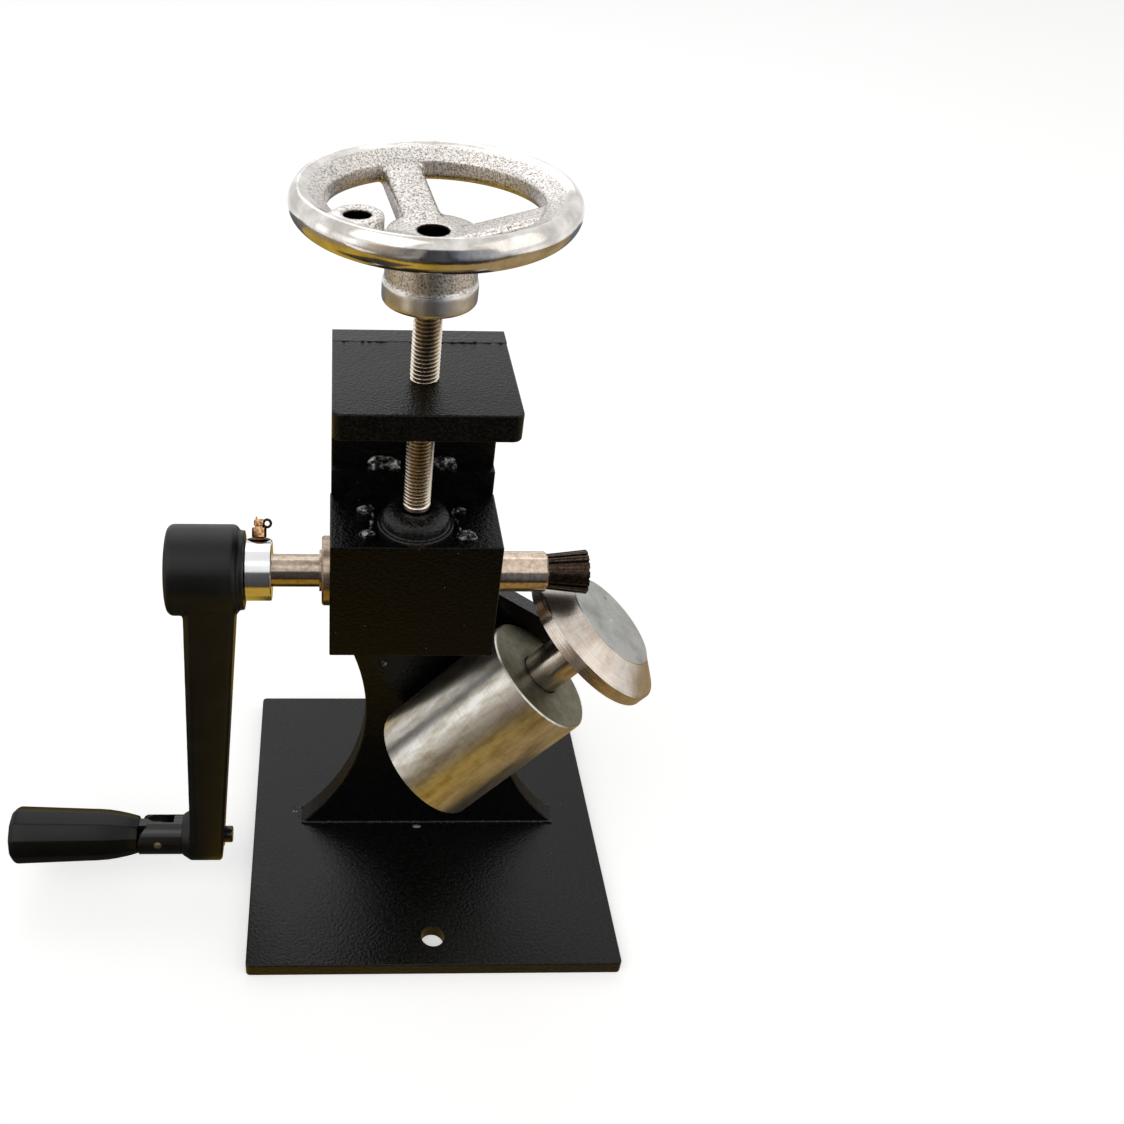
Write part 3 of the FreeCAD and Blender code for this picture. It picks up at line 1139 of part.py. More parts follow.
def handle_fork():
    """A slotted round collar; its upper tip is round about the fold, so that the grip can pass."""
    half = FORK_DIAMETER / 2
    tip = FOLD_X - FORK_TIP_REACH
    body = rod(on_handle(tip), X_AXIS, FORK_DIAMETER, FORK_FACE - tip)
    corner = box(tip, FOLD_X, AXIS_Y - half, AXIS_Y + half, HANDLE_HEIGHT, HANDLE_HEIGHT + half)
    body = body.cut(corner.cut(across_handle(2 * FORK_TIP_REACH)))
    side = FORK_SLOT_WIDTH / 2
    slot = box(tip, FOLD_X + FORK_SLOT_REACH, AXIS_Y - side, AXIS_Y + side,
               HANDLE_HEIGHT - FORK_SLOT_REACH, HANDLE_HEIGHT + half)
    body = body.cut(slot).cut(across_handle(FOLD_PIN_DIAMETER))
    return rolled(body.fuse(fork_stud()))


def stud_washer():
    """The thin washer under the stud's end."""
    return ring(on_handle(STUD_SEAT), X_AXIS, STUD_WASHER_DIAMETER, FORK_STUD_END_DIAMETER,
                STUD_WASHER_THICKNESS)


def fold_pin():
    """The rivet that the handle folds on, its ends flush with the fork's round sides."""
    collar = rod(on_handle(FOLD_X - FORK_DIAMETER), X_AXIS, FORK_DIAMETER, 2 * FORK_DIAMETER)
    return rolled(across_handle(FOLD_PIN_DIAMETER).common(collar))


def handle_spindle():
    """The tongue in the fork, and the rod that the grip turns on."""
    side = FORK_SLOT_WIDTH / 2 - TONGUE_SIDE_CLEARANCE
    start = V(FOLD_X, AXIS_Y - side, HANDLE_HEIGHT)
    tongue = rod(start, Y_AXIS, 2 * TONGUE_RADIUS, 2 * side)
    root = FOLD_X - TONGUE_LENGTH
    tongue = tongue.fuse(box(root, FOLD_X, AXIS_Y - side, AXIS_Y + side,
                             HANDLE_HEIGHT - TONGUE_RADIUS, HANDLE_HEIGHT + TONGUE_RADIUS))
    tongue = tongue.cut(across_handle(FOLD_PIN_DIAMETER + 2 * RUNNING_CLEARANCE))
    end = GRIP_END + GRIP_COUNTERBORE_DEPTH - AXIAL_PLAY
    bar = rod(on_handle(root), -X_AXIS, HANDLE_ROD_DIAMETER, root - end)
    tapped = rod(on_handle(end), X_AXIS, GRIP_SCREW_DIAMETER, GRIP_SCREW_LENGTH)
    return rolled(tongue.fuse(bar).removeSplitter().cut(tapped))


def grip_profile():
    """Half of the grip's outline: a waist at the fork that swells to a rounded outer end."""
    bore = HANDLE_ROD_DIAMETER / 2 + RUNNING_CLEARANCE
    end = GRIP_END_DIAMETER / 2
    corner = GRIP_LENGTH - GRIP_END_ROUND
    swell = Part.BSplineCurve()
    swell.interpolate([
        V(GRIP_ROOT_DIAMETER / 2, 0, 0),
        V(GRIP_SHOULDER_DIAMETER / 2, 0, GRIP_SHOULDER_POSITION),
        V(end, 0, corner),
    ])
    turn = GRIP_END_ROUND * (1 - math.sqrt(0.5))
    round_end = Part.Arc(V(end, 0, corner), V(end - turn, 0, GRIP_LENGTH - turn),
                         V(end - GRIP_END_ROUND, 0, GRIP_LENGTH))
    return Part.Face(Part.Wire([
        Part.makeLine(V(bore, 0, 0), V(GRIP_ROOT_DIAMETER / 2, 0, 0)),
        swell.toShape(),
        round_end.toShape(),
        Part.makeLine(V(end - GRIP_END_ROUND, 0, GRIP_LENGTH), V(bore, 0, GRIP_LENGTH)),
        Part.makeLine(V(bore, 0, GRIP_LENGTH), V(bore, 0, 0)),
    ]))


def grip():
    """The turning grip, with a recess in its outer end for its washer and screw."""
    body = grip_profile().revolve(V(0, 0, 0), Z_AXIS, 360)
    floor = V(0, 0, GRIP_LENGTH - GRIP_COUNTERBORE_DEPTH)
    body = body.cut(rod(floor, Z_AXIS, GRIP_COUNTERBORE_DIAMETER, GRIP_COUNTERBORE_DEPTH))
    body.rotate(V(0, 0, 0), Y_AXIS, -90)
    body.translate(on_handle(GRIP_START))
    return body


def grip_washer():
    face = GRIP_END + GRIP_COUNTERBORE_DEPTH - AXIAL_PLAY
    return ring(on_handle(face), -X_AXIS, GRIP_WASHER_DIAMETER, GRIP_SCREW_DIAMETER, GRIP_WASHER_THICKNESS)


def grip_screw():
    """The screw that keeps the grip on its rod."""
    face = GRIP_END + GRIP_COUNTERBORE_DEPTH - AXIAL_PLAY - GRIP_WASHER_THICKNESS
    head = rod(on_handle(face), -X_AXIS, GRIP_SCREW_HEAD, GRIP_SCREW_HEAD_HEIGHT)
    socket_depth = GRIP_SCREW_HEAD_HEIGHT / 2
    socket = rod(on_handle(face - socket_depth), -X_AXIS, GRIP_SCREW_DIAMETER / 2, socket_depth)
    shank = rod(on_handle(face), X_AXIS, GRIP_SCREW_DIAMETER, GRIP_SCREW_LENGTH)
    return head.fuse(shank).cut(socket)


# ================================================================ all sub-parts
def front_bearing(make):
    """One piece of the front bearing."""
    return make(FRONT_BEARING_END)


def rear_bearing(make):
    """One piece of the rear bearing."""
    return make(REAR_BEARING_START)


NODES = {
    "base_plate": base_plate,
    "column_plate": column_plate,
    "top_plate": top_plate,
    "foot_welds": foot_welds,
    "top_plate_weld": top_plate_weld,
    "guide_plate": guide_plate,
    "guide_welds": guide_welds,
    "dovetail_bar": dovetail_bar,
    "guide_screws": guide_screws,
    "anvil_housing": anvil_housing,
    "housing_end_cap": housing_end_cap,
    "housing_welds": housing_welds,
    "housing_circlip": housing_circlip,
    "front_bearing_outer_race": lambda: front_bearing(outer_race),
    "front_bearing_balls": lambda: front_bearing(bearing_balls),
    "front_bearing_inner_race": lambda: front_bearing(inner_race),
    "rear_bearing_outer_race": lambda: rear_bearing(outer_race),
    "rear_bearing_balls": lambda: rear_bearing(bearing_balls),
    "rear_bearing_inner_race": lambda: rear_bearing(inner_race),
    "bearing_outer_spacer": outer_spacer,
    "bearing_inner_spacer": inner_spacer,
    "spindle_circlip": spindle_circlip,
    "anvil_spindle": anvil_spindle,
    "anvil_disc": anvil_disc,
    "bearing_block": bearing_block,
    "crank_side_bush": crank_side_bush,
    "roller_side_bush": roller_side_bush,
    "thrust_pad": thrust_pad,
    "thrust_hub": thrust_hub,
    "hub_tack_welds": hub_tack_welds,
    "pressure_screw": pressure_screw,
    "handwheel": handwheel,
    "handwheel_grub_screw": handwheel_grub_screw,
    "crank_shaft": crank_shaft,
    "shaft_circlip": shaft_circlip,
    "crank_key": crank_key,
    "crank_arm": crank_arm,
    "crank_sleeve": crank_sleeve,
    "crank_end_screw": crank_end_screw,
    "shaft_collar": shaft_collar,
    "collar_eye_screw": collar_eye_screw,
    "embossing_roller": embossing_roller,
    "roller_key": roller_key,
    "roller_screw": roller_screw,
    "handle_fork": handle_fork,
    "stud_washer": stud_washer,
    "fold_pin": fold_pin,
    "handle_spindle": handle_spindle,
    "grip": grip,
    "grip_washer": grip_washer,
    "grip_screw": grip_screw,
}


def main():
    """Write every sub-part to parts/NODE.step."""
    os.makedirs("parts", exist_ok=True)
    for name, make in NODES.items():
        make().exportStep(f"parts/{name}.step")


main()
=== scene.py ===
"""The looks of the hand-cranked belt embossing machine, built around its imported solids.

Most solids keep their shape and get the finish of the real piece. The threaded screw, the cast
handwheel, the moulded crank, the grip and every weld are modelled again, because their looks
come from detail that the plain solids leave out. Everything is in metres, in the solids' frame.
"""

import logging
import math
import random
from collections.abc import Iterable, Sequence
from dataclasses import dataclass, field
from enum import Enum
from typing import Any

import bmesh
import bpy
from bmesh.types import BMEdge, BMesh, BMVert
from bpy.types import ID, Material, Node, NodeSocket, NodeTree, Object
from mathutils import Matrix, Vector, noise


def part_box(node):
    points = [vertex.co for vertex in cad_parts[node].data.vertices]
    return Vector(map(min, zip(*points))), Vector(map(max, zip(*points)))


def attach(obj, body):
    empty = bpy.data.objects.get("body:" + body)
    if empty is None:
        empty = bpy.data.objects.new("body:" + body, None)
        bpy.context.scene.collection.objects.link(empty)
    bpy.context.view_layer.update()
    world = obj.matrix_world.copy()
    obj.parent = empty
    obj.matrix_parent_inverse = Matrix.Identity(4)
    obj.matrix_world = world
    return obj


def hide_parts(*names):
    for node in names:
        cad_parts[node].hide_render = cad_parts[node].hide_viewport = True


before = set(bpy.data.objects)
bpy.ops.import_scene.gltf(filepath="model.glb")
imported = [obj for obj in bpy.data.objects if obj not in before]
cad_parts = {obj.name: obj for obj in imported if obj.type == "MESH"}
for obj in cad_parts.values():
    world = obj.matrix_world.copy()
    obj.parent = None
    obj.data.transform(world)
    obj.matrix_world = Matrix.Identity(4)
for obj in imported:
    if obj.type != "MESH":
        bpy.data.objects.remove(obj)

LOG = logging.getLogger("belt_embosser")
MM = 0.001
IMAGE_SIDE = 1124
SHARP_ANGLE = math.radians(38)
X_AXIS = Vector((1, 0, 0))
Z_AXIS = Vector((0, 0, 1))
Source = Node | NodeSocket
# A finish's roughness drifts between this much below its stated value and this much above.
SMOOTHER = 0.05
ROUGHER = 0.08
# A weld bead: the sides of its section, the steps in one of its scales, how thin it starts, how
# fast it swells to its size, and how far its scales stand out.
BEAD_SIDES = 12
BEAD_STEPS = 4
BEAD_TIP = 0.4
BEAD_SWELL = 0.2
BEAD_VALLEY = 0.86
BEAD_CREST = 0.14


class Body(Enum):
    """The rigid bodies that pieces ride on."""

    FRAME = "frame"
    CARRIAGE = "carriage"
    SCREW = "screw"
    CRANK = "crank"
    GRIP = "grip"


class Slot(Enum):
    """The record's material slots."""

    BLACK_COAT = "black_coat"
    COATED_WELD = "coated_weld"
    TURNED_STEEL = "turned_steel"
    CAST_WHEEL = "cast_wheel"
    BLACK_PLASTIC = "black_plastic"
    BRASS_SCREW = "brass_screw"


# ---------------------------------------------------------------- colour and nodes
def linear(code: str) -> tuple[float, float, float, float]:
    """Turn an sRGB hex colour into the linear one that shaders take.

    Args:
        code: Six hex digits, with or without a leading hash.

    Returns:
        Red, green, blue and an alpha of 1.
    """
    digits = code.lstrip("#")
    channels = [int(digits[i:i + 2], 16) / 255 for i in (0, 2, 4)]
    red, green, blue = (
        c / 12.92 if c <= 0.04045 else ((c + 0.055) / 1.055) ** 2.4 for c in channels)
    return red, green, blue, 1.0


def plug(tree: NodeTree, source: Any, target: NodeSocket) -> None:
    """Give an input what it takes.

    Args:
        tree: The node tree of the input.
        source: A constant, an output, or a node that stands for its first output in use.
        target: The input.
    """
    if isinstance(source, Node):
        source = next(output for output in source.outputs if output.enabled)
    if isinstance(source, NodeSocket):
        tree.links.new(source, target)
    else:
        target.default_value = source


def add_node(tree: NodeTree, kind: str, inputs: dict[str | int, Any] | None = None,
             **settings: Any) -> Node:
    """Add a node with its settings, its constants and its links.

    Args:
        tree: The node tree that gets the node.
        kind: The node's Blender type, without the ShaderNode that it starts with.
        inputs: What each input takes, by name or number.
        **settings: The node's own properties.

    Returns:
        The new node.
    """
    node = tree.nodes.new(f"ShaderNode{kind}")
    for name, value in settings.items():
        setattr(node, name, value)
    for key, value in (inputs or {}).items():
        plug(tree, value, node.inputs[key])
    return node


@dataclass
class Recipe:
    """A material while its nodes are laid out."""

    material: Material
    shader: Node
    output: Node
    place: NodeSocket

    @property
    def tree(self) -> NodeTree:
        """The material's node tree."""
        return self.material.node_tree

    def add(self, kind: str, inputs: dict[str | int, Any] | None = None, **settings: Any) -> Node:
        """Add a node to this material's tree."""
        return add_node(self.tree, kind, inputs, **settings)

    def feed(self, **sockets: Any) -> None:
        """Give the shader's inputs what they take, underscores standing for spaces."""
        for name, value in sockets.items():
            plug(self.tree, value, self.shader.inputs[name.replace("_", " ")])

    def show(self, surface: Node) -> None:
        """Show another surface in place of the shader's own."""
        plug(self.tree, surface, self.output.inputs["Surface"])

    def every(self, gap: float, where: Source | None = None) -> dict[str, Any]:
        """The inputs of a pattern whose features lie this many millimetres apart."""
        return {"Vector": self.place if where is None else where, "Scale": 1 / (gap * MM)}

    def toned(self, field: Source, low: float, high: float, under: str | Node,
              over: str | Node, most: float = 1.0) -> Node:
        """Blend one tone into another as a field rises.

        Args:
            field: What decides between the tones.
            low: The field's value up to which the first tone shows.
            high: The value at which the second has reached its share.
            under: The first tone.
            over: The second tone.
            most: The second tone's share.

        Returns:
            The blended colour.
        """
        share = self.add("MapRange", {
            "Value": field, "From Min": low, "From Max": high, "To Max": most})
        tones = [linear(tone) if isinstance(tone, str) else tone for tone in (under, over)]
        return self.add("Mix", {0: share, 6: tones[0], 7: tones[1]}, data_type="RGBA")

    def scuffed(self, field: Source, gloss: float, grain: float, depth: float) -> dict[str, Node]:
        """Give a fine grain and a gloss that drifts.

        Args:
            field: What the gloss drifts with.
            gloss: The roughness that it drifts round.
            grain: How far the grains lie apart, in millimetres.
            depth: How deep they are, in millimetres.

        Returns:
            What the shader's Normal and Roughness take.
        """
        grains = self.add("TexNoise", {**self.every(grain), "Detail": 2.0})
        return {
            "Normal": self.add("Bump", {"Distance": depth * MM, "Height": grains}),
            "Roughness": self.add("MapRange", {
                "Value": field, "From Min": 0.3, "From Max": 0.7,
                "To Min": gloss - SMOOTHER, "To Max": gloss + ROUGHER})}


def new_recipe(name: str) -> Recipe:
    """Start a material with a shader, an output and the Object coordinates.

    Args:
        name: The finish's name.

    Returns:
        The recipe to add nodes to.
    """
    material = bpy.data.materials.new(name)
    material.use_nodes = True
    tree = material.node_tree
    tree.nodes.clear()
    shader = add_node(tree, "BsdfPrincipled")
    output = add_node(tree, "OutputMaterial", {"Surface": shader})
    place = add_node(tree, "TexCoord").outputs["Object"]
    return Recipe(material, shader, output, place)


def looked_at(tree: NodeTree) -> Node:
    """Tell the rays that look at a surface from those that only carry its light.

    Args:
        tree: The node tree that asks.

    Returns:
        One for camera, glossy and transmitted rays, and nought for the rest.
    """
    rays = add_node(tree, "LightPath")
    seen = add_node(tree, "Math", {
        0: rays.outputs["Is Camera Ray"], 1: rays.outputs["Is Glossy Ray"]},
        operation="MAXIMUM")
    return add_node(tree, "Math", {0: seen, 1: rays.outputs["Is Transmission Ray"]},
                    operation="MAXIMUM")


# ---------------------------------------------------------------- finishes
@dataclass(frozen=True)
class PowderCoat:
    """Black polyester powder coat, sprayed and baked: glossy, with the orange peel of the melt."""

    name: str
    colour: str = "040404"
    # The lighter tone of the peel's crests: a painted sheen.
    crest_sheen: str = "0E0E0E"
    roughness: float = 0.28
    peel: float = 1.5
    grain: float = 0.55
    depth: float = 0.22
    speck_spacing: float = 13.0
    speck_size: float = 0.020
    speck: str = "77776F"
    fine_share: float = 0.35
    drift: float = 42.0
    ior: float = 1.32

    def material(self) -> Material:
        """Lay out the coat: a mottle as fine as its peel, painted lighter on its crests as sheen,
        peel and grain as bump, and dust.
        """
        recipe = new_recipe(self.name)
        # The peel of the melt is 1 to 2 mm across, the grain in it about half a millimetre.
        peel = recipe.add("TexNoise", {**recipe.every(self.peel), "Detail": 2.0})
        grain = recipe.add("TexNoise", {**recipe.every(self.grain), "Detail": 1.0})
        height = recipe.add("Math", {
            0: grain, 1: self.fine_share, 2: peel}, operation="MULTIPLY_ADD")
        # The peel's crests are painted lighter: a painted sheen.
        tone = recipe.toned(height, 0.60, 0.85, self.colour, self.crest_sheen)
        dust = recipe.add("TexVoronoi", recipe.every(self.speck_spacing))
        speck = recipe.add("Math", {0: dust, 1: self.speck_size}, operation="LESS_THAN")
        dotted = recipe.add("Mix", {0: speck, 6: tone, 7: linear(self.speck)}, data_type="RGBA")
        bump = recipe.add("Bump", {"Distance": self.depth * MM, "Height": height})
        drift = recipe.add("TexNoise", {
            **recipe.every(self.drift), "Detail": 4.0, "Roughness": 0.6})
        rubbed = recipe.add("MapRange", {
            "Value": drift, "From Min": 0.3, "From Max": 0.7,
            "To Min": self.roughness - 0.05, "To Max": self.roughness + 0.07})
        recipe.feed(Base_Color=dotted, Roughness=rubbed, Normal=bump, IOR=self.ior)
        return recipe.material


@dataclass(frozen=True)
class TurnedSteel:
    """Mild steel left bright from the lathe: fine rings round its axis and a film of old oil.

    The rings spread a reflection along the axis and keep it sharp across, which is what the
    shader's anisotropy along the axis does.
    """

    name: str
    origin: tuple[float, float, float]
    axis: tuple[float, float, float]
    colour: str = "D2CEC8"
    stain: str = "A89F8E"
    roughness: float = 0.30
    ringed: float = 0.6
    line: float = 0.45
    depth: float = 0.012
    patch: float = 14.0
    stretch: float = 0.3
    stained: float = 0.7
    groove_shade: float = 0.86

    def along_axis(self, recipe: Recipe) -> Node:
        """The place as seen from the lathe: z runs along the turning axis."""
        turn = Vector(self.axis).to_track_quat("Z", "Y").inverted()
        moved = turn @ -Vector(self.origin)
        return recipe.add("Mapping", {
            "Vector": recipe.place, "Location": moved, "Rotation": turn.to_euler()})

    def radius(self, recipe: Recipe, lathe: Source) -> Node:
        """The distance from the turning axis."""
        flat = recipe.add("VectorMath", {0: lathe, 1: (1, 1, 0)}, operation="MULTIPLY")
        return recipe.add("VectorMath", {0: flat}, operation="LENGTH")

    def rings(self, recipe: Recipe, lathe: Source) -> Node:
        """The tool's feed marks: rings along the barrel and circles on its end faces."""
        split = recipe.add("SeparateXYZ", {0: lathe})
        profile = recipe.add("CombineXYZ", {0: self.radius(recipe, lathe), 2: split.outputs["Z"]})
        return recipe.add("TexNoise", {
            **recipe.every(self.line, profile), "Detail": 2.0, "Roughness": 0.7})

    def across_rings(self, recipe: Recipe) -> Node:
        """The direction across the tool's marks: along the barrel, outwards on its end faces."""
        axis = Vector(self.axis).normalized()
        arm = recipe.add("VectorMath", {0: recipe.place, 1: self.origin}, operation="SUBTRACT")
        along = recipe.add("VectorMath", {0: arm, 1: axis}, operation="PROJECT")
        out = recipe.add("VectorMath", {0: arm, 1: along}, operation="SUBTRACT")
        unit = recipe.add("VectorMath", {0: out}, operation="NORMALIZE")
        both = recipe.add("VectorMath", {0: unit, 1: axis}, operation="ADD")
        return recipe.add("VectorTransform", {0: both}, vector_type="VECTOR",
                          convert_from="OBJECT", convert_to="WORLD")

    def coloured(self, recipe: Recipe, lathe: Source, marks: Source) -> Node:
        """Bright metal under streaks of old oil, a little darker in the tool's marks."""
        drawn = recipe.add("VectorMath", {0: lathe, 1: (1, 1, self.stretch)}, operation="MULTIPLY")
        patches = recipe.add("TexNoise", {
            **recipe.every(self.patch, drawn), "Detail": 6.0, "Roughness": 0.62})
        stained = recipe.toned(patches, 0.40, 0.68, self.colour, self.stain, self.stained)
        shade = recipe.add("MapRange", {
            "Value": marks, "From Min": 0.3, "From Max": 0.7, "To Min": self.groove_shade,
            "To Max": 1.04})
        return recipe.add("VectorMath", {0: stained, "Scale": shade}, operation="SCALE")

    def finished(self, recipe: Recipe, colour: Node, roughness: Node, relief: Source,
                 depth: float | Node) -> Material:
        """Feed the shader what all metal from the lathe has.

        Args:
            recipe: The metal's recipe.
            colour: Its colour.
            roughness: Its roughness.
            relief: The height of its marks, from nought to one.
            depth: How deep they are, in metres.

        Returns:
            The finished material.
        """
        bump = recipe.add("Bump", {"Distance": depth, "Height": relief})
        recipe.feed(Base_Color=colour, Metallic=1.0, Roughness=roughness,
                    Anisotropic=self.ringed, Normal=bump, Tangent=self.across_rings(recipe))
        return recipe.material

    def material(self) -> Material:
        """Lay out the turned metal."""
        recipe = new_recipe(self.name)
        lathe = self.along_axis(recipe)
        marks = self.rings(recipe, lathe)
        polish = recipe.add("MapRange", {
            "Value": marks, "From Min": 0.25, "From Max": 0.75,
            "To Min": self.roughness - SMOOTHER, "To Max": self.roughness + ROUGHER})
        return self.finished(recipe, self.coloured(recipe, lathe, marks), polish, marks,
                             self.depth * MM)


@dataclass(frozen=True)
class HousingSteel(TurnedSteel):
    """The housing's steel: a bright barrel, and a front face that was faced off dull, painted
    darker as shade from the disc in front of it.
    """

    # The face's darker colour is painted shade from the disc in front of it.
    face_colour: str = "85826F"
    face_roughness: float = 0.46
    face_depth: float = 0.12
    face_cut: float = 1.4
    # The face darkens towards the spindle between these radii, in millimetres.
    darkening_from: float = 10.5
    darkening_to: float = 16.0

    def material(self) -> Material:
        """Lay out the barrel and the duller face, told apart by the place along the axis."""
        recipe = new_recipe(self.name)
        lathe = self.along_axis(recipe)
        marks = self.rings(recipe, lathe)
        level = recipe.add("SeparateXYZ", {0: lathe})
        radius = self.radius(recipe, lathe)
        front = recipe.add("MapRange", {
            "Value": level.outputs["Z"], "From Min": -0.25 * MM, "From Max": -0.05 * MM})
        # The circles of the facing cut are half a millimetre apart, drawn wider to show.
        circles = recipe.add("CombineXYZ", {0: radius})
        cuts = recipe.add("TexNoise", {
            **recipe.every(self.face_cut, circles), "Detail": 3.0, "Roughness": 0.8})
        relief = recipe.add("Mix", {0: front, 2: marks, 3: cuts}, data_type="FLOAT")
        depth = recipe.add("MapRange", {
            "Value": front, "To Min": self.depth * MM, "To Max": self.face_depth * MM})
        mottle = recipe.add("TexNoise", {**recipe.every(5), "Detail": 6.0, "Roughness": 0.75})
        dulled = recipe.add("MapRange", {
            "Value": mottle, "From Min": 0.3, "From Max": 0.7, "To Min": 0.55, "To Max": 1.15})
        # The face darkens towards the spindle.
        toward_spindle = recipe.add("MapRange", {
            "Value": radius, "From Min": self.darkening_from * MM, "From Max": self.darkening_to * MM,
            "To Min": 0.35})
        shade = recipe.add("Math", {0: dulled, 1: toward_spindle}, operation="MULTIPLY")
        # The face's colour, darkened as painted shade from the disc.
        shaded_face = recipe.add("VectorMath", {
            0: linear(self.face_colour)[:3], "Scale": shade}, operation="SCALE")
        tone = recipe.add("Mix", {
            0: front, 6: self.coloured(recipe, lathe, marks), 7: shaded_face}, data_type="RGBA")
        roughness = recipe.add("MapRange", {
            "Value": front, "To Min": self.roughness, "To Max": self.face_roughness})
        return self.finished(recipe, tone, roughness, relief, depth)


@dataclass(frozen=True)
class DiscSteel(TurnedSteel):
    """The anvil disc's steel: a polished rim, a cone scored outwards and a stained flat face."""

    face_radius: float = 25.4
    rim_radius: float = 38.5
    face_colour: str = "BDBDBA"
    face_stain: str = "85857F"
    face_roughness: float = 0.34
    rim_roughness: float = 0.17
    scores: float = 38.0
    score_depth: float = 0.13
    pit_colour: str = "2A2826"
    pit: tuple[float, float, float] = (78.05, -18.73, 192.30)

    def face(self, recipe: Recipe) -> Node:
        """The flat face's grey-blue, clouded by fingers and oil, with one dark pit."""
        clouds = recipe.add("TexNoise", {**recipe.every(16), "Detail": 8.0, "Roughness": 0.66})
        clouded = recipe.toned(clouds, 0.46, 0.70, self.face_colour, self.face_stain, 0.75)
        away = recipe.add("VectorMath", {0: recipe.place, 1: Vector(self.pit) * MM},
                          operation="DISTANCE")
        return recipe.toned(away, 0.5 * MM, 0.9 * MM, self.pit_colour, clouded)

    def material(self) -> Material:
        """Lay out the disc, each zone told from the next by its distance from the axis."""
        recipe = new_recipe(self.name)
        lathe = self.along_axis(recipe)
        marks = self.rings(recipe, lathe)
        radius = self.radius(recipe, lathe)
        flat = recipe.add("VectorMath", {0: lathe, 1: (1, 1, 0)}, operation="MULTIPLY")
        spoke = recipe.add("VectorMath", {0: flat}, operation="NORMALIZE")
        # A unit circle has about 240 scores in it, one every millimetre at the rim.
        scores = recipe.add("TexNoise", {
            "Vector": spoke, "Scale": self.scores, "Detail": 3.0, "Roughness": 0.75})
        cone = recipe.add("MapRange", {
            "Value": radius, "From Min": (self.face_radius - 0.2) * MM,
            "From Max": (self.face_radius + 0.4) * MM})
        rim = recipe.add("MapRange", {
            "Value": radius, "From Min": (self.rim_radius - 1.0) * MM,
            "From Max": (self.rim_radius - 0.4) * MM})
        scored = recipe.add("Math", {0: cone, 1: rim}, operation="SUBTRACT", use_clamp=True)
        # The scores are deepest beside the face, where the grinding wheel bit.
        fade = recipe.add("MapRange", {
            "Value": radius, "From Min": self.face_radius * MM,
            "From Max": (self.face_radius + 9.0) * MM, "To Min": 1.0, "To Max": 0.25})
        bitten = recipe.add("Math", {0: scored, 1: fade}, operation="MULTIPLY")
        relief = recipe.add("Mix", {0: bitten, 2: marks, 3: scores}, data_type="FLOAT")
        tone = self.coloured(recipe, lathe, relief)
        lit = recipe.add("Mix", {0: cone, 6: self.face(recipe), 7: tone}, data_type="RGBA")
        face_rough = recipe.add("MapRange", {
            "Value": cone, "To Min": self.face_roughness, "To Max": self.roughness})
        roughness = recipe.add("MapRange", {
            "Value": rim, "To Min": face_rough, "To Max": self.rim_roughness})
        return self.finished(recipe, lit, roughness, relief, self.score_depth * MM)


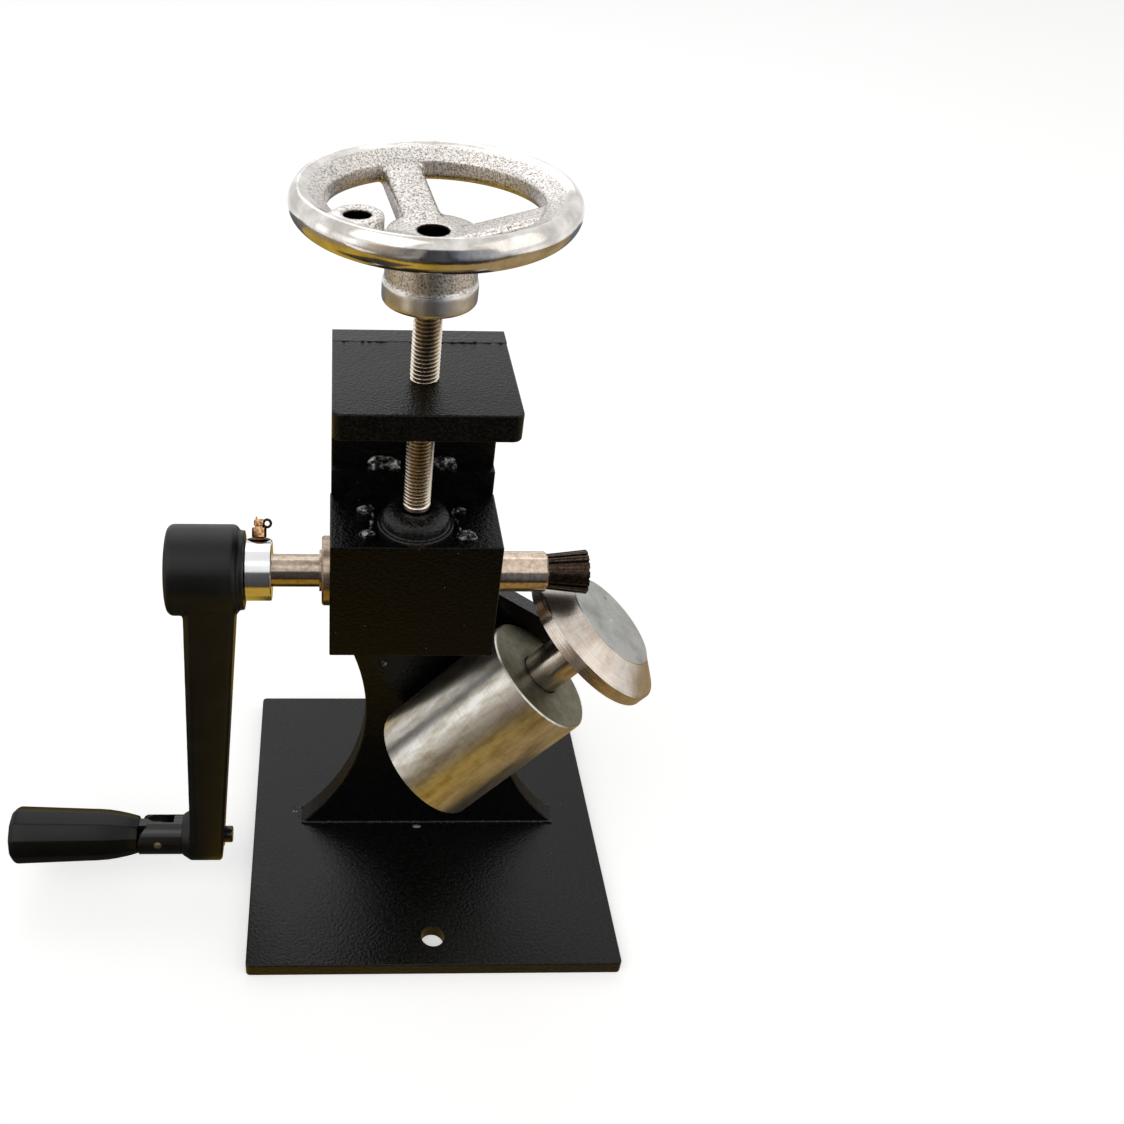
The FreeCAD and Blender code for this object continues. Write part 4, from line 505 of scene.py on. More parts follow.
@dataclass(frozen=True)
class CastWheelMetal(TurnedSteel):
    """Sand-cast iron under bright chrome: buffed outside, grained inside, turned below.

    The places and radii are in millimetres, boss is the middle of the handle's bore in the
    frame, and mirror, swirled, turned and cast are the roughness of each part of the surface.
    """

    polished_from: float = 47.3
    skirt_top: float = 364.8
    buffed: str = "C3BDB7"
    bright: str = "EDEAE6"
    # The grain's hollows are painted darker than its crowns: painted shade.
    hollow: str = "7F776F"
    crown: str = "E6E1DC"
    grain: float = 0.8
    relief: float = 0.20
    # The near-black painted into the two bores as shade.
    bore_shade: str = "1C1512"
    bore: float = 6.6
    boss: tuple[float, float] = (-48.145, -64.945)
    boss_bore: float = 5.2
    mirror: float = 0.09
    swirled: float = 0.20
    turned: float = 0.28
    cast: float = 0.30

    def grained(self, recipe: Recipe, radius: Source) -> Node:
        """How far the sand's grain shows: full inside the wavering edge of the buffing."""
        waver = recipe.add("TexNoise", {**recipe.every(9), "Detail": 3.0})
        edge = recipe.add("Math", {0: waver, 1: 2.4 * MM, 2: radius}, operation="MULTIPLY_ADD")
        return recipe.add("MapRange", {
            "Value": edge, "From Min": (self.polished_from + 0.2) * MM,
            "From Max": (self.polished_from + 2.2) * MM, "To Min": 1.0, "To Max": 0.0})

    def above_skirt(self, recipe: Recipe) -> Node:
        """Nought on the turned skirt and one above it."""
        height = recipe.add("SeparateXYZ", {0: recipe.place})
        return recipe.add("MapRange", {
            "Value": height.outputs["Z"], "From Min": (self.skirt_top - 0.3) * MM,
            "From Max": (self.skirt_top + 0.3) * MM})

    def outside_bores(self, recipe: Recipe, radius: Source) -> Node:
        """Nought in the two bores, painted near-black as shade, and one outside them."""
        boss = recipe.add("VectorMath", {
            0: recipe.place, 1: Vector((*self.boss, 0)) * MM}, operation="SUBTRACT")
        from_boss = self.radius(recipe, boss)
        clear = [recipe.add("MapRange", {
            "Value": distance, "From Min": (edge - 0.3) * MM, "From Max": edge * MM})
            for distance, edge in ((radius, self.bore), (from_boss, self.boss_bore))]
        return recipe.add("Math", {0: clear[0], 1: clear[1]}, operation="MULTIPLY")

    def buffed_tone(self, recipe: Recipe) -> Node:
        """The buffed chrome's tone, drifting where the wheel was pressed harder."""
        drift = recipe.add("TexNoise", {**recipe.every(13), "Detail": 6.0, "Roughness": 0.6})
        return recipe.toned(drift, 0.38, 0.62, self.buffed, self.bright)

    def material(self) -> Material:
        """Lay out the chrome, with the grain kept inside the rim and above the turned skirt."""
        recipe = new_recipe(self.name)
        lathe = self.along_axis(recipe)
        radius = self.radius(recipe, lathe)
        above = self.above_skirt(recipe)
        rough = recipe.add("Math", {0: self.grained(recipe, radius), 1: above},
                           operation="MULTIPLY")
        # The grains of the moulding sand are under a millimetre across.
        sand = recipe.add("TexNoise", {
            **recipe.every(self.grain), "Detail": 3.0, "Roughness": 0.62})
        raised = recipe.add("Math", {0: sand, 1: rough}, operation="MULTIPLY")
        swirl = recipe.add("TexNoise", {**recipe.every(6), "Detail": 4.0, "Roughness": 0.7})
        buffed = recipe.add("MapRange", {
            "Value": swirl, "From Min": 0.3, "From Max": 0.7,
            "To Min": self.mirror, "To Max": self.swirled})
        cut = recipe.add("Mix", {0: above, 2: self.turned, 3: buffed}, data_type="FLOAT")
        roughness = recipe.add("Mix", {0: rough, 2: cut, 3: self.cast}, data_type="FLOAT")
        # Painted shade: the grain's hollows darker, its crowns pale.
        cast = recipe.toned(sand, 0.36, 0.56, self.hollow, self.crown)
        colour = recipe.add("Mix", {0: rough, 6: self.buffed_tone(recipe), 7: cast},
                            data_type="RGBA")
        # The bores are painted near-black: painted shade.
        bores_shaded = recipe.add("Mix", {
            0: self.outside_bores(recipe, radius), 6: linear(self.bore_shade), 7: colour},
            data_type="RGBA")
        return self.finished(recipe, bores_shaded, roughness, raised, self.relief * MM)


@dataclass(frozen=True)
class ShaftSteel(TurnedSteel):
    """The shaft's steel: rosy and dark at the crank's end, paler beyond the block."""

    dark_before: float = -30.0
    pale_after: float = 30.0
    dark_share: float = 0.68

    def coloured(self, recipe: Recipe, lathe: Source, marks: Source) -> Node:
        """The turned metal's tone, darkened towards the crank."""
        split = recipe.add("SeparateXYZ", {0: lathe})
        share = recipe.add("MapRange", {
            "Value": split.outputs["Z"], "From Min": self.dark_before * MM,
            "From Max": self.pale_after * MM, "To Min": self.dark_share})
        tone = super().coloured(recipe, lathe, marks)
        return recipe.add("VectorMath", {0: tone, "Scale": share}, operation="SCALE")


@dataclass(frozen=True)
class RolledThread:
    """A rolled stainless thread: bright round crests, and painted brown shade in its roots."""

    name: str
    centre: tuple[float, float, float]
    root: float = 4.95
    crest: float = 5.8
    root_shade: str = "7A6850"
    bright: str = "EADFCF"
    smoothest: float = 0.16
    roughest: float = 0.30

    def material(self) -> Material:
        """Lay out the thread, its colour taken from the distance to the screw's axis."""
        recipe = new_recipe(self.name)
        local = recipe.add("Mapping", {"Vector": recipe.place, "Location": -Vector(self.centre)})
        flat = recipe.add("VectorMath", {0: local, 1: (1, 1, 0)}, operation="MULTIPLY")
        radius = recipe.add("VectorMath", {0: flat}, operation="LENGTH")
        # Darker brown towards the roots: painted shade.
        colour = recipe.toned(radius, self.root * MM, self.crest * MM, self.root_shade, self.bright)
        smear = recipe.add("TexNoise", {**recipe.every(3), "Detail": 4.0, "Roughness": 0.7})
        roughness = recipe.add("MapRange", {
            "Value": smear, "From Min": 0.3, "From Max": 0.7,
            "To Min": self.smoothest, "To Max": self.roughest})
        recipe.feed(Base_Color=colour, Metallic=1.0, Roughness=roughness)
        return recipe.material


@dataclass(frozen=True)
class SmallPartMetal:
    """Small bought-in metal parts: one plated or blackened colour, slightly scuffed and uneven."""

    name: str
    colour: str
    worn: str
    roughness: float
    metallic: float = 1.0
    patch: float = 4.0
    grain: float = 0.5
    depth: float = 0.01

    def material(self) -> Material:
        """Lay out the metal: worn patches, scuffs in the gloss and a faint grain."""
        recipe = new_recipe(self.name)
        patches = recipe.add("TexNoise", {
            **recipe.every(self.patch), "Detail": 5.0, "Roughness": 0.65})
        recipe.feed(Base_Color=recipe.toned(patches, 0.42, 0.68, self.colour, self.worn),
                    Metallic=self.metallic,
                    **recipe.scuffed(patches, self.roughness, self.grain, self.depth))
        return recipe.material


@dataclass(frozen=True)
class MouldedPlastic:
    """Black moulded plastic from a spark-eroded mould: satin, finely grained, lightly scuffed."""

    name: str
    colour: str = "080808"
    scuff: str = "161616"
    roughness: float = 0.38
    grain: float = 0.45
    depth: float = 0.03
    ior: float = 1.36

    def material(self) -> Material:
        """Lay out the plastic: the mould's grain as bump, and scuffs that lift the black."""
        recipe = new_recipe(self.name)
        rub = recipe.add("TexNoise", {**recipe.every(18), "Detail": 5.0, "Roughness": 0.65})
        recipe.feed(Base_Color=recipe.toned(rub, 0.45, 0.75, self.colour, self.scuff, 0.6),
                    IOR=self.ior,
                    **recipe.scuffed(rub, self.roughness, self.grain, self.depth))
        return recipe.material


@dataclass(frozen=True)
class WeldUnderCoat:
    """An arc weld sprayed over: thin glossy coat on a lumpy bead, its tops painted grey as sheen.
    """

    name: str = "coated_weld"
    coat: str = "161616"
    # The grey of the bead's tops: a painted sheen.
    top_sheen: str = "A6A6A2"
    shown: float = 0.48
    metallic: float = 0.5
    roughness: float = 0.24
    lumps: float = 2.6
    depth: float = 0.2
    ior: float = 1.4

    def material(self) -> Material:
        """Lay out the coated weld: a mottle of black and grey over a soft bump."""
        recipe = new_recipe(self.name)
        mottle = recipe.add("TexNoise", {
            **recipe.every(self.lumps), "Detail": 4.0, "Roughness": 0.6})
        # Grey painted on the bump's tops as sheen.
        colour = recipe.toned(mottle, self.shown, self.shown + 0.16, self.coat, self.top_sheen)
        bump = recipe.add("Bump", {"Distance": self.depth * MM, "Height": mottle})
        recipe.feed(Base_Color=colour, Roughness=self.roughness, Metallic=self.metallic,
                    Normal=bump, IOR=self.ior)
        return recipe.material


# ---------------------------------------------------------------- shaping
def dress(nodes: Iterable[str], material: Material) -> None:
    """Give solids of the frame a finish.

    Args:
        nodes: The solids' names.
        material: The finish.
    """
    for name in nodes:
        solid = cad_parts[name]
        solid.data.materials.clear()
        solid.data.materials.append(material)
        LOG.info("%s is dressed in %s", name, material.name)


def mesh_of(shape: BMesh, name: str) -> bpy.types.Mesh:
    """Turn a shape into a mesh, and free the shape."""
    mesh = bpy.data.meshes.new(name)
    shape.to_mesh(mesh)
    shape.free()
    return mesh


def placed(name: str, data: ID) -> Object:
    """Put a mesh, lamp or camera into the scene as an object at the origin."""
    thing = bpy.data.objects.new(name, data)
    bpy.context.scene.collection.objects.link(thing)
    return thing


def picked(items: Sequence[Any], kind: type) -> list[Any]:
    """The vertices or the edges among the items that an operator gave back."""
    return [item for item in items if isinstance(item, kind)]


def finished_piece(shape: BMesh, name: str, body: Body,
                   material: Material, replaces: Sequence[str] = ()) -> Object:
    """Turn a shape into a piece that rides on its body.

    Args:
        shape: The piece's shape, in the frame's metres. It is freed.
        name: The piece's name.
        body: The body that it moves with.
        material: Its finish.
        replaces: The solids that it stands for.

    Returns:
        The new object, at the origin, with its place in its mesh.
    """
    bmesh.ops.recalc_face_normals(shape, faces=shape.faces)
    mesh = mesh_of(shape, name)
    mesh.shade_smooth()
    mesh.set_sharp_from_angle(angle=SHARP_ANGLE)
    mesh.materials.append(material)
    piece = placed(name, mesh)
    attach(piece, body.value)
    if replaces:
        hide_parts(*replaces)
    LOG.info("%s rides on %s, %d faces", name, body.value, len(mesh.polygons))
    return piece


def merged_solid(node: str) -> BMesh:
    """Copy a solid of the frame with its loose triangles joined.

    Args:
        node: The solid's name.

    Returns:
        The copy.
    """
    shape = bmesh.new()
    shape.from_mesh(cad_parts[node].data)
    bmesh.ops.remove_doubles(shape, verts=shape.verts, dist=0.0005 * MM)
    return shape


def cast_over(shape: BMesh, voxel: float, passes: int) -> BMesh:
    """Give a shape the soft corners and fillets of a casting or moulding.

    Args:
        shape: The sharp shape. It is freed.
        voxel: The grain that the skin is rebuilt at, in metres.
        passes: How often the new skin is smoothed.

    Returns:
        The softened shape.
    """
    mesh = mesh_of(shape, "blank")
    blank = placed("blank", mesh)
    remesh = blank.modifiers.new("skin", "REMESH")
    remesh.mode = "VOXEL"
    remesh.voxel_size = voxel
    graph = bpy.context.evaluated_depsgraph_get()
    skin = bpy.data.meshes.new_from_object(blank.evaluated_get(graph))
    soft = bmesh.new()
    soft.from_mesh(skin)
    for _ in range(passes):
        bmesh.ops.smooth_vert(soft, verts=soft.verts, factor=0.5, use_axis_x=True,
                              use_axis_y=True, use_axis_z=True)
    bpy.data.objects.remove(blank)
    bpy.data.meshes.remove(mesh)
    bpy.data.meshes.remove(skin)
    return soft


def spun(profile: Sequence[tuple[float, float]], centre: Vector, axis: Vector,
         steps: int) -> BMesh:
    """Turn a profile about an axis.

    Args:
        profile: Distances from the axis and along it, in metres.
        centre: The point of the axis that the profile counts from.
        axis: The axis's direction.
        steps: The number of steps in a full turn.

    Returns:
        The closed turned shape.
    """
    shape = bmesh.new()
    turn = axis.to_track_quat("Z", "Y").to_matrix()
    points = [shape.verts.new(centre + turn @ Vector((r, 0, h))) for r, h in profile]
    edges = [shape.edges.new(pair) for pair in zip(points, points[1:])]
    bmesh.ops.spin(shape, geom=points + edges, cent=centre, axis=axis, angle=2 * math.pi,
                   steps=steps, use_merge=True, use_duplicate=False)
    bmesh.ops.remove_doubles(shape, verts=shape.verts, dist=0.002 * MM)
    return shape


def weld_bead(start: Vector, end: Vector, size: float, ripple: float, seed: int,
              stray: float = 0.15) -> BMesh:
    """Lay a bead of weld between two points, its scales pushed out one after the other.

    Args:
        start: Where the bead starts.
        end: Where it ends.
        size: Its radius.
        ripple: The length of one scale.
        seed: What its unevenness is drawn from.
        stray: How far the bead strays from its size, as a share of it.

    Returns:
        The closed bead.
    """
    rng = random.Random(seed)
    shape = bmesh.new()
    run = end - start
    facing = Matrix.Translation(start) @ run.to_track_quat("Z", "Y").to_matrix().to_4x4()
    radius = size * BEAD_TIP
    bmesh.ops.create_circle(shape, cap_ends=False, segments=BEAD_SIDES, radius=radius,
                            matrix=facing)
    edges = list(shape.edges)
    steps = max(2, round(run.length / ripple)) * BEAD_STEPS
    swell = 1.0
    sway = Vector()
    centre = start.copy()
    for step in range(steps):
        extruded = bmesh.ops.extrude_edge_only(shape, edges=edges)["geom"]
        points, edges = picked(extruded, BMVert), picked(extruded, BMEdge)
        if step % BEAD_STEPS == 0:
            swell = 1 + rng.uniform(-stray, stray)
            sway = Vector([rng.uniform(-stray, stray) * size * 0.5 for _ in range(3)])
        bmesh.ops.translate(shape, verts=points, vec=run / steps)
        centre = centre + run / steps
        ends = min(1.0, BEAD_TIP + BEAD_SWELL * min(step + 1, steps - step))
        phase = math.pi * (step % BEAD_STEPS + 0.5) / BEAD_STEPS
        wanted = size * swell * ends * (BEAD_VALLEY + BEAD_CREST * math.sin(phase))
        factor = wanted / radius
        bmesh.ops.scale(shape, verts=points, vec=(factor,) * 3, space=Matrix.Translation(-centre))
        radius = wanted
        middle = sum((point.co for point in points), Vector()) / len(points)
        bmesh.ops.translate(shape, verts=points, vec=(centre + sway * ends - middle))
    bmesh.ops.holes_fill(shape, edges=shape.edges, sides=BEAD_SIDES)
    return shape


def weld_lump(centre: Vector, spread: Vector, roughness: float, seed: int) -> BMesh:
    """Drop a blob of weld metal.

    Args:
        centre: The blob's middle.
        spread: Its half sizes along X, Y and Z.
        roughness: How far its skin stands in and out, as a share of its size.
        seed: What its unevenness is drawn from.

    Returns:
        The closed blob.
    """
    shape = bmesh.new()
    bmesh.ops.create_icosphere(shape, subdivisions=4, radius=1.0)
    offset = Vector((seed * 1.7, seed * 0.9, seed * 2.3))
    for vert in shape.verts:
        swell = noise.fractal(vert.co * 1.3 + offset, 0.9, 2.0, 3)
        vert.co *= 1 + roughness * swell
    bmesh.ops.scale(shape, verts=shape.verts, vec=spread)
    bmesh.ops.translate(shape, verts=shape.verts, vec=centre)
    return shape


@dataclass(frozen=True)
class Blob:
    """A blob of weld: its place from an origin and its half sizes, in millimetres."""

    place: tuple[float, float, float]
    half: tuple[float, float, float]
    roughness: float
    seed: int

    def shape(self, origin: Vector) -> BMesh:
        """Drop the blob beside an origin."""
        return weld_lump(origin + Vector(self.place) * MM, Vector(self.half) * MM,
                         self.roughness, self.seed)


def joined(shapes: Sequence[BMesh]) -> BMesh:
    """Put several shapes into one.

    Args:
        shapes: The shapes. They are freed.

    Returns:
        The joined shape.
    """
    whole = bmesh.new()
    for shape in shapes:
        mesh = mesh_of(shape, "part")
        whole.from_mesh(mesh)
        bpy.data.meshes.remove(mesh)
    return whole


def middle_of(node: str) -> Vector:
    """The middle of a solid's box."""
    low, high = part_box(node)
    return (low + high) / 2


def foot_of(node: str) -> Vector:
    """The middle of the underside of a solid's box."""
    middle = middle_of(node)
    middle.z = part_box(node)[0].z
    return middle


# ---------------------------------------------------------------- sub-assemblies
@dataclass
class WeldedFrame:
    """Base, column, top plate and guide, welded together and powder coated as one."""

    foot_bead: float = 1.35 * MM
    top_bead: float = 2.1 * MM
    ripple: float = 2.2 * MM
    seam_radius: float = 0.45 * MM
    lump_reach: float = 6.4 * MM
    lump_depth: float = 1.6 * MM
    left_lumps: tuple[Blob, ...] = (Blob((0, 0, 0.6), (7.6, 3.4, 5.0), 0.16, 2),
                                    Blob((-5.2, -1.2, -0.6), (2.6, 2.2, 3.0), 0.2, 3))
    right_lumps: tuple[Blob, ...] = (Blob((0, 0, 0.4), (6.8, 3.0, 5.2), 0.16, 6),
                                     Blob((4.0, -1.4, 0.6), (1.4, 1.4, 4.6), 0.2, 7))
    column_blob: Blob = Blob((-28.4, -4.7, 136.0), (2.2, 0.9, 2.2), 0.2, 21)
    foot_blob: Blob = Blob((-4.0, -0.6, 0), (2.4, 1.3, 0.9), 0.35, 22)
    stray_blobs: int = 7

    def dress(self) -> None:
        """Coat the plates: glossy black that shows its peel wherever light grazes it."""
        # The base lies flat under the light: its peel glitters, and its peel crests are painted a
        # paler grey as sheen.
        dress(["base_plate"], PowderCoat("coat_base", crest_sheen="161615", peel=1.6, depth=0.30,
                                         roughness=0.24, ior=1.33).material())
        # The column's coat ran thick: pure black, with coarse pebbles that catch the light.
        dress(["column_plate"], PowderCoat("coat_column", peel=2.0, depth=0.34,
                                           roughness=0.22).material())
        # The guide was coated over weld dust: black, with pale specks.
        dress(["guide_plate", "dovetail_bar"],
              PowderCoat("coat_guide", peel=2.2, depth=0.30, roughness=0.24, speck_spacing=4.5,
                         speck_size=0.055).material())
        # The top plate has the tightest peel, like leather grain.
        dress(["top_plate"], PowderCoat("coat_top_plate", crest_sheen="121211", peel=1.2, depth=0.30,
                                        roughness=0.22, ior=1.26).material())
        # Blackened cap screws: dull near-black steel, rubbed lighter on their corners.
        dress(["guide_screws"], SmallPartMetal("guide_screw_black_oxide", "1C1C1E", "3A3A3C",
                                               0.35).material())

    def foot(self, weld: Material) -> None:
        """Lay the beads along the column's foot, front and back."""
        low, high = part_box("foot_welds")
        column_low, column_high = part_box("column_plate")
        beads = []
        for seed, y in ((3, column_low.y), (8, column_high.y)):
            height = low.z + self.foot_bead * 0.25
            beads.append(weld_bead(Vector((low.x, y, height)), Vector((high.x, y, height)),
                                   self.foot_bead, self.ripple, seed))
        finished_piece(joined(beads), "foot_weld_beads", Body.FRAME, weld,
                       ["foot_welds"])

    def under_top_plate(self, weld: Material) -> None:
        """Lay the bead in the corner under the top plate."""
        low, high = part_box("top_plate_weld")
        start = Vector((low.x + 1 * MM, high.y, high.z))
        end = Vector((high.x - 1 * MM, high.y, high.z))
        finished_piece(weld_bead(start, end, self.top_bead, self.ripple, 5),
                       "top_plate_weld_bead", Body.FRAME, weld,
                       ["top_plate_weld"])

    def top_seam(self) -> None:
        """Trace the wandering crack in the coat where the top plate meets the column."""
        low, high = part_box("top_plate")
        inset, sunk = 0.6 * MM, Vector((0, -0.1, -0.25)) * MM
        start = Vector((low.x + inset, high.y, high.z)) + sunk
        end = Vector((high.x - inset, high.y, high.z)) + sunk
        seam = weld_bead(start, end, self.seam_radius, 1.6 * MM, 12, stray=0.9)
        # A crack in the coat: matt and blacker than the coat beside it.
        crack = PowderCoat("coat_crack", colour="020202", crest_sheen="040404", roughness=0.7)
        finished_piece(seam, "top_plate_seam", Body.FRAME, crack.material())

    def guide_lumps(self, weld: Material) -> None:
        """Drop the two lumps of weld on the guide plate's top edge, each with a tail."""
        low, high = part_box("guide_welds")
        back = high.y - self.lump_depth
        left = Vector((low.x + self.lump_reach, back, low.z))
        right = Vector((high.x - self.lump_reach, back, low.z))
        lumps = [blob.shape(origin) for origin, blobs in (
            (left, self.left_lumps), (right, self.right_lumps)) for blob in blobs]
        finished_piece(joined(lumps), "guide_weld_lumps", Body.FRAME, weld,
                       ["guide_welds"])

    def spatter(self, weld: Material) -> None:
        """Drop the stray blobs of weld on the column and beside its foot."""
        foot_low, foot_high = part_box("foot_welds")
        blobs = [self.column_blob.shape(Vector()),
                 self.foot_blob.shape(Vector((0, foot_low.y, foot_low.z)))]
        rng = random.Random(31)
        for seed in range(self.stray_blobs):
            spot = Vector((foot_low.x - rng.uniform(0.5, 5) * MM,
                           foot_high.y - rng.uniform(2, 12) * MM, foot_low.z))
            size = rng.uniform(0.4, 1.0)
            blobs.append(weld_lump(spot, Vector((size, size, size * 0.6)) * MM, 0.3, 40 + seed))
        finished_piece(joined(blobs), "weld_spatter", Body.FRAME, weld)

    def build(self, weld: Material) -> None:
        """Dress the solids and lay every weld of the frame."""
        # Beads on the outside took the full coat: black, with only a little painted grey sheen on
        # their tops.
        covered = WeldUnderCoat("well_coated_weld", coat="0A0A0A", top_sheen="3C3C3A", shown=0.56,
                                metallic=0.0).material()
        self.dress()
        self.foot(covered)
        self.under_top_plate(covered)
        self.top_seam()
        self.guide_lumps(weld)
        self.spatter(weld)


@dataclass
class TiltedAnvil:
    """The tilted housing, its spindle and bearings, and the disc that the belt runs over."""

    tilt: float = math.radians(50)
    face: Vector = field(default_factory=lambda: Vector((47.752, -35.6, 157.149)) * MM)
    bead_spacing: float = 23.0 * MM
    bead_near: float = 12.0 * MM
    bead_far: float = 71.0 * MM
    bead_radius: float = 3.0 * MM
    bead_ripple: float = 2.6 * MM

    @property
    def axis(self) -> Vector:
        """The direction from the housing to the disc."""
        return Vector((math.cos(self.tilt), 0, math.sin(self.tilt)))

    def dress(self) -> None:
        """Give each piece the marks of its own turning."""
        origin, axis = tuple(self.face), tuple(self.axis)
        # Bright-drawn bar turned outside: broad soft reflections and brown streaks of oil.
        dress(["anvil_housing"], HousingSteel(
            "housing_turned_steel", origin, axis, colour="DEDCD8", stain="A0957F",
            roughness=0.33, ringed=0.45, line=0.6, patch=5.0, stretch=0.30,
            stained=0.85).material())
        # A plate pressed in at the back: the same steel, faced and duller.
        dress(["housing_end_cap"], TurnedSteel(
            "end_cap_faced_steel", origin, axis, colour="B9B4AA", stain="8F8676",
            roughness=0.38, line=0.8).material())
        # The spindle was ground: a sharp highlight and a dark underside.
        dress(["anvil_spindle"], TurnedSteel(
            "spindle_ground_steel", origin, axis, colour="CFC6BC", stain="77695A",
            roughness=0.20, line=0.35, patch=5.0).material())
        # The disc was turned and then ground by hand: warm, with scores that fan outwards.
        dress(["anvil_disc"], DiscSteel(
            "disc_ground_steel", origin, axis, colour="DCD2C8", stain="B09E8E",
            roughness=0.30, ringed=0.4, line=0.5, patch=10.0, stretch=1.0,
            groove_shade=0.70).material())
        # Hardened bearing steel, ground and lapped: almost a mirror.
        race = TurnedSteel("bearing_race_ground_steel", origin, axis, colour="D2D2D0",
                           stain="B9B9B4", roughness=0.12, line=0.3).material()
        dress(["front_bearing_outer_race", "front_bearing_inner_race", "rear_bearing_outer_race",
               "rear_bearing_inner_race", "bearing_outer_spacer", "bearing_inner_spacer"], race)
        # Polished balls: the brightest metal on the machine.
        dress(["front_bearing_balls", "rear_bearing_balls"],
              SmallPartMetal("bearing_ball_polished_steel", "D8D8D8", "C4C4C2", 0.10).material())
        # Spring steel left dark from its hardening oil.
        dress(["housing_circlip", "spindle_circlip"],
              SmallPartMetal("circlip_spring_steel", "2B2A2A", "4A4846", 0.30).material())

    def housing_beads(self, weld: Material) -> None:
        """Lay the two beads that hold the housing's back to the column."""
        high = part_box("housing_welds")[1]
        side = Vector((-math.sin(self.tilt), 0, math.cos(self.tilt)))
        beads = []
        for seed, offset in ((14, -self.bead_spacing / 2), (17, self.bead_spacing / 2)):
            middle = self.face + side * offset
            middle.y = high.y
            beads.append(weld_bead(middle - self.axis * self.bead_far,
                                   middle - self.axis * self.bead_near,
                                   self.bead_radius, self.bead_ripple, seed))
        finished_piece(joined(beads), "housing_weld_beads", Body.FRAME, weld,
                       ["housing_welds"])

    def build(self, weld: Material) -> None:
        """Dress the tilted unit and lay its welds."""
        self.dress()
        self.housing_beads(weld)


@dataclass
class SlidingBlock:
    """The coated block that slides on the guide, with its bushes and the screw's hub cap."""

    tack_size: Vector = field(default_factory=lambda: Vector((4.1, 2.7, 2.9)) * MM)
    tacks: tuple[tuple[float, float], ...] = ((-21.8, 10.6), (-21.6, -8.2), (20.6, 10.4),
                                              (22.0, -9.2))
    tack_scales: tuple[float, ...] = (1.0, 0.85, 0.7, 1.05)
    run_size: float = 0.7 * MM
    run_ripple: float = 1.8 * MM
    dome_steps: int = 12
    bore: float = 6.45 * MM
    flange: float = 17.0 * MM
    flange_height: float = 2.0 * MM
    wall: float = 15.0 * MM
    wall_height: float = 4.0 * MM
    crown: float = 7.75 * MM

    def hub(self) -> None:
        """Turn the domed hub cap, with the round edges that a thick coat gives it."""
        low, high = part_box("thrust_hub")
        height = high.z - low.z
        edge = 0.5 * MM
        profile = [(self.bore, 0), (self.flange, 0), (self.flange, self.flange_height - edge),
                   (self.flange - edge, self.flange_height),
                   (self.wall + edge, self.flange_height),
                   (self.wall, self.flange_height + edge)]
        for step in range(self.dome_steps + 1):
            angle = math.pi / 2 * step / self.dome_steps
            profile.append((self.crown + (self.wall - self.crown) * math.cos(angle),
                            self.wall_height + (height - self.wall_height) * math.sin(angle)))
        profile += [(self.bore + edge, height), (self.bore, height - edge), (self.bore, 0)]
        foot = foot_of("thrust_hub")
        # The dome took the thickest coat: deep gloss over coarse peel.
        coat = PowderCoat("coat_hub_dome", crest_sheen="1C1C1C", peel=1.4, depth=0.55,
                          roughness=0.14, ior=1.36)
        finished_piece(spun(profile, foot, Z_AXIS, 96), "domed_hub_cap", Body.CARRIAGE,
                       coat.material(), ["thrust_hub"])

    def tack_lumps(self, weld: Material) -> None:
        """Drop the four tacks beside the hub, the two on each side joined by a thin run."""
        middle = middle_of("thrust_hub")
        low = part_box("hub_tack_welds")[0]
        places = [Vector((middle.x + x * MM, middle.y + y * MM, low.z + 0.4 * MM))
                  for x, y in self.tacks]
        lumps = [weld_lump(place, self.tack_size * size, 0.22, 60 + seed)
                 for seed, (place, size) in enumerate(zip(places, self.tack_scales))]
        for seed, (back, front) in enumerate((places[:2], places[2:])):
            inward = Vector((math.copysign(3.4 * MM, middle.x - back.x), 0, -0.5 * MM))
            lumps.append(weld_bead(front + inward * 0.4, back + inward, self.run_size,
                                   self.run_ripple, 70 + seed, stray=0.5))
        finished_piece(joined(lumps), "hub_tack_lumps", Body.CARRIAGE, weld,
                       ["hub_tack_welds"])

    def build(self, weld: Material) -> None:
        """Dress the block and its bushes, and model the hub cap and its welds."""
        # The block's coat is pebbled like leather and dusted with pale specks of spatter.
        dress(["bearing_block"], PowderCoat("coat_block", colour="030303", crest_sheen="0A0A0A",
                                            peel=1.5, depth=0.34, roughness=0.20, ior=1.24,
                                            speck_spacing=6.0, speck_size=0.035).material())
        # Cast bronze, turned and long oiled: its orange has gone to a pale rosy grey.
        dress(["crank_side_bush", "roller_side_bush", "thrust_pad"], TurnedSteel(
            "bush_aged_bronze", tuple(middle_of("crank_shaft")), (1, 0, 0), colour="C2AE9A",
            stain="7A6654", roughness=0.28, line=0.4, patch=3.0).material())
        self.hub()
        self.tack_lumps(weld)


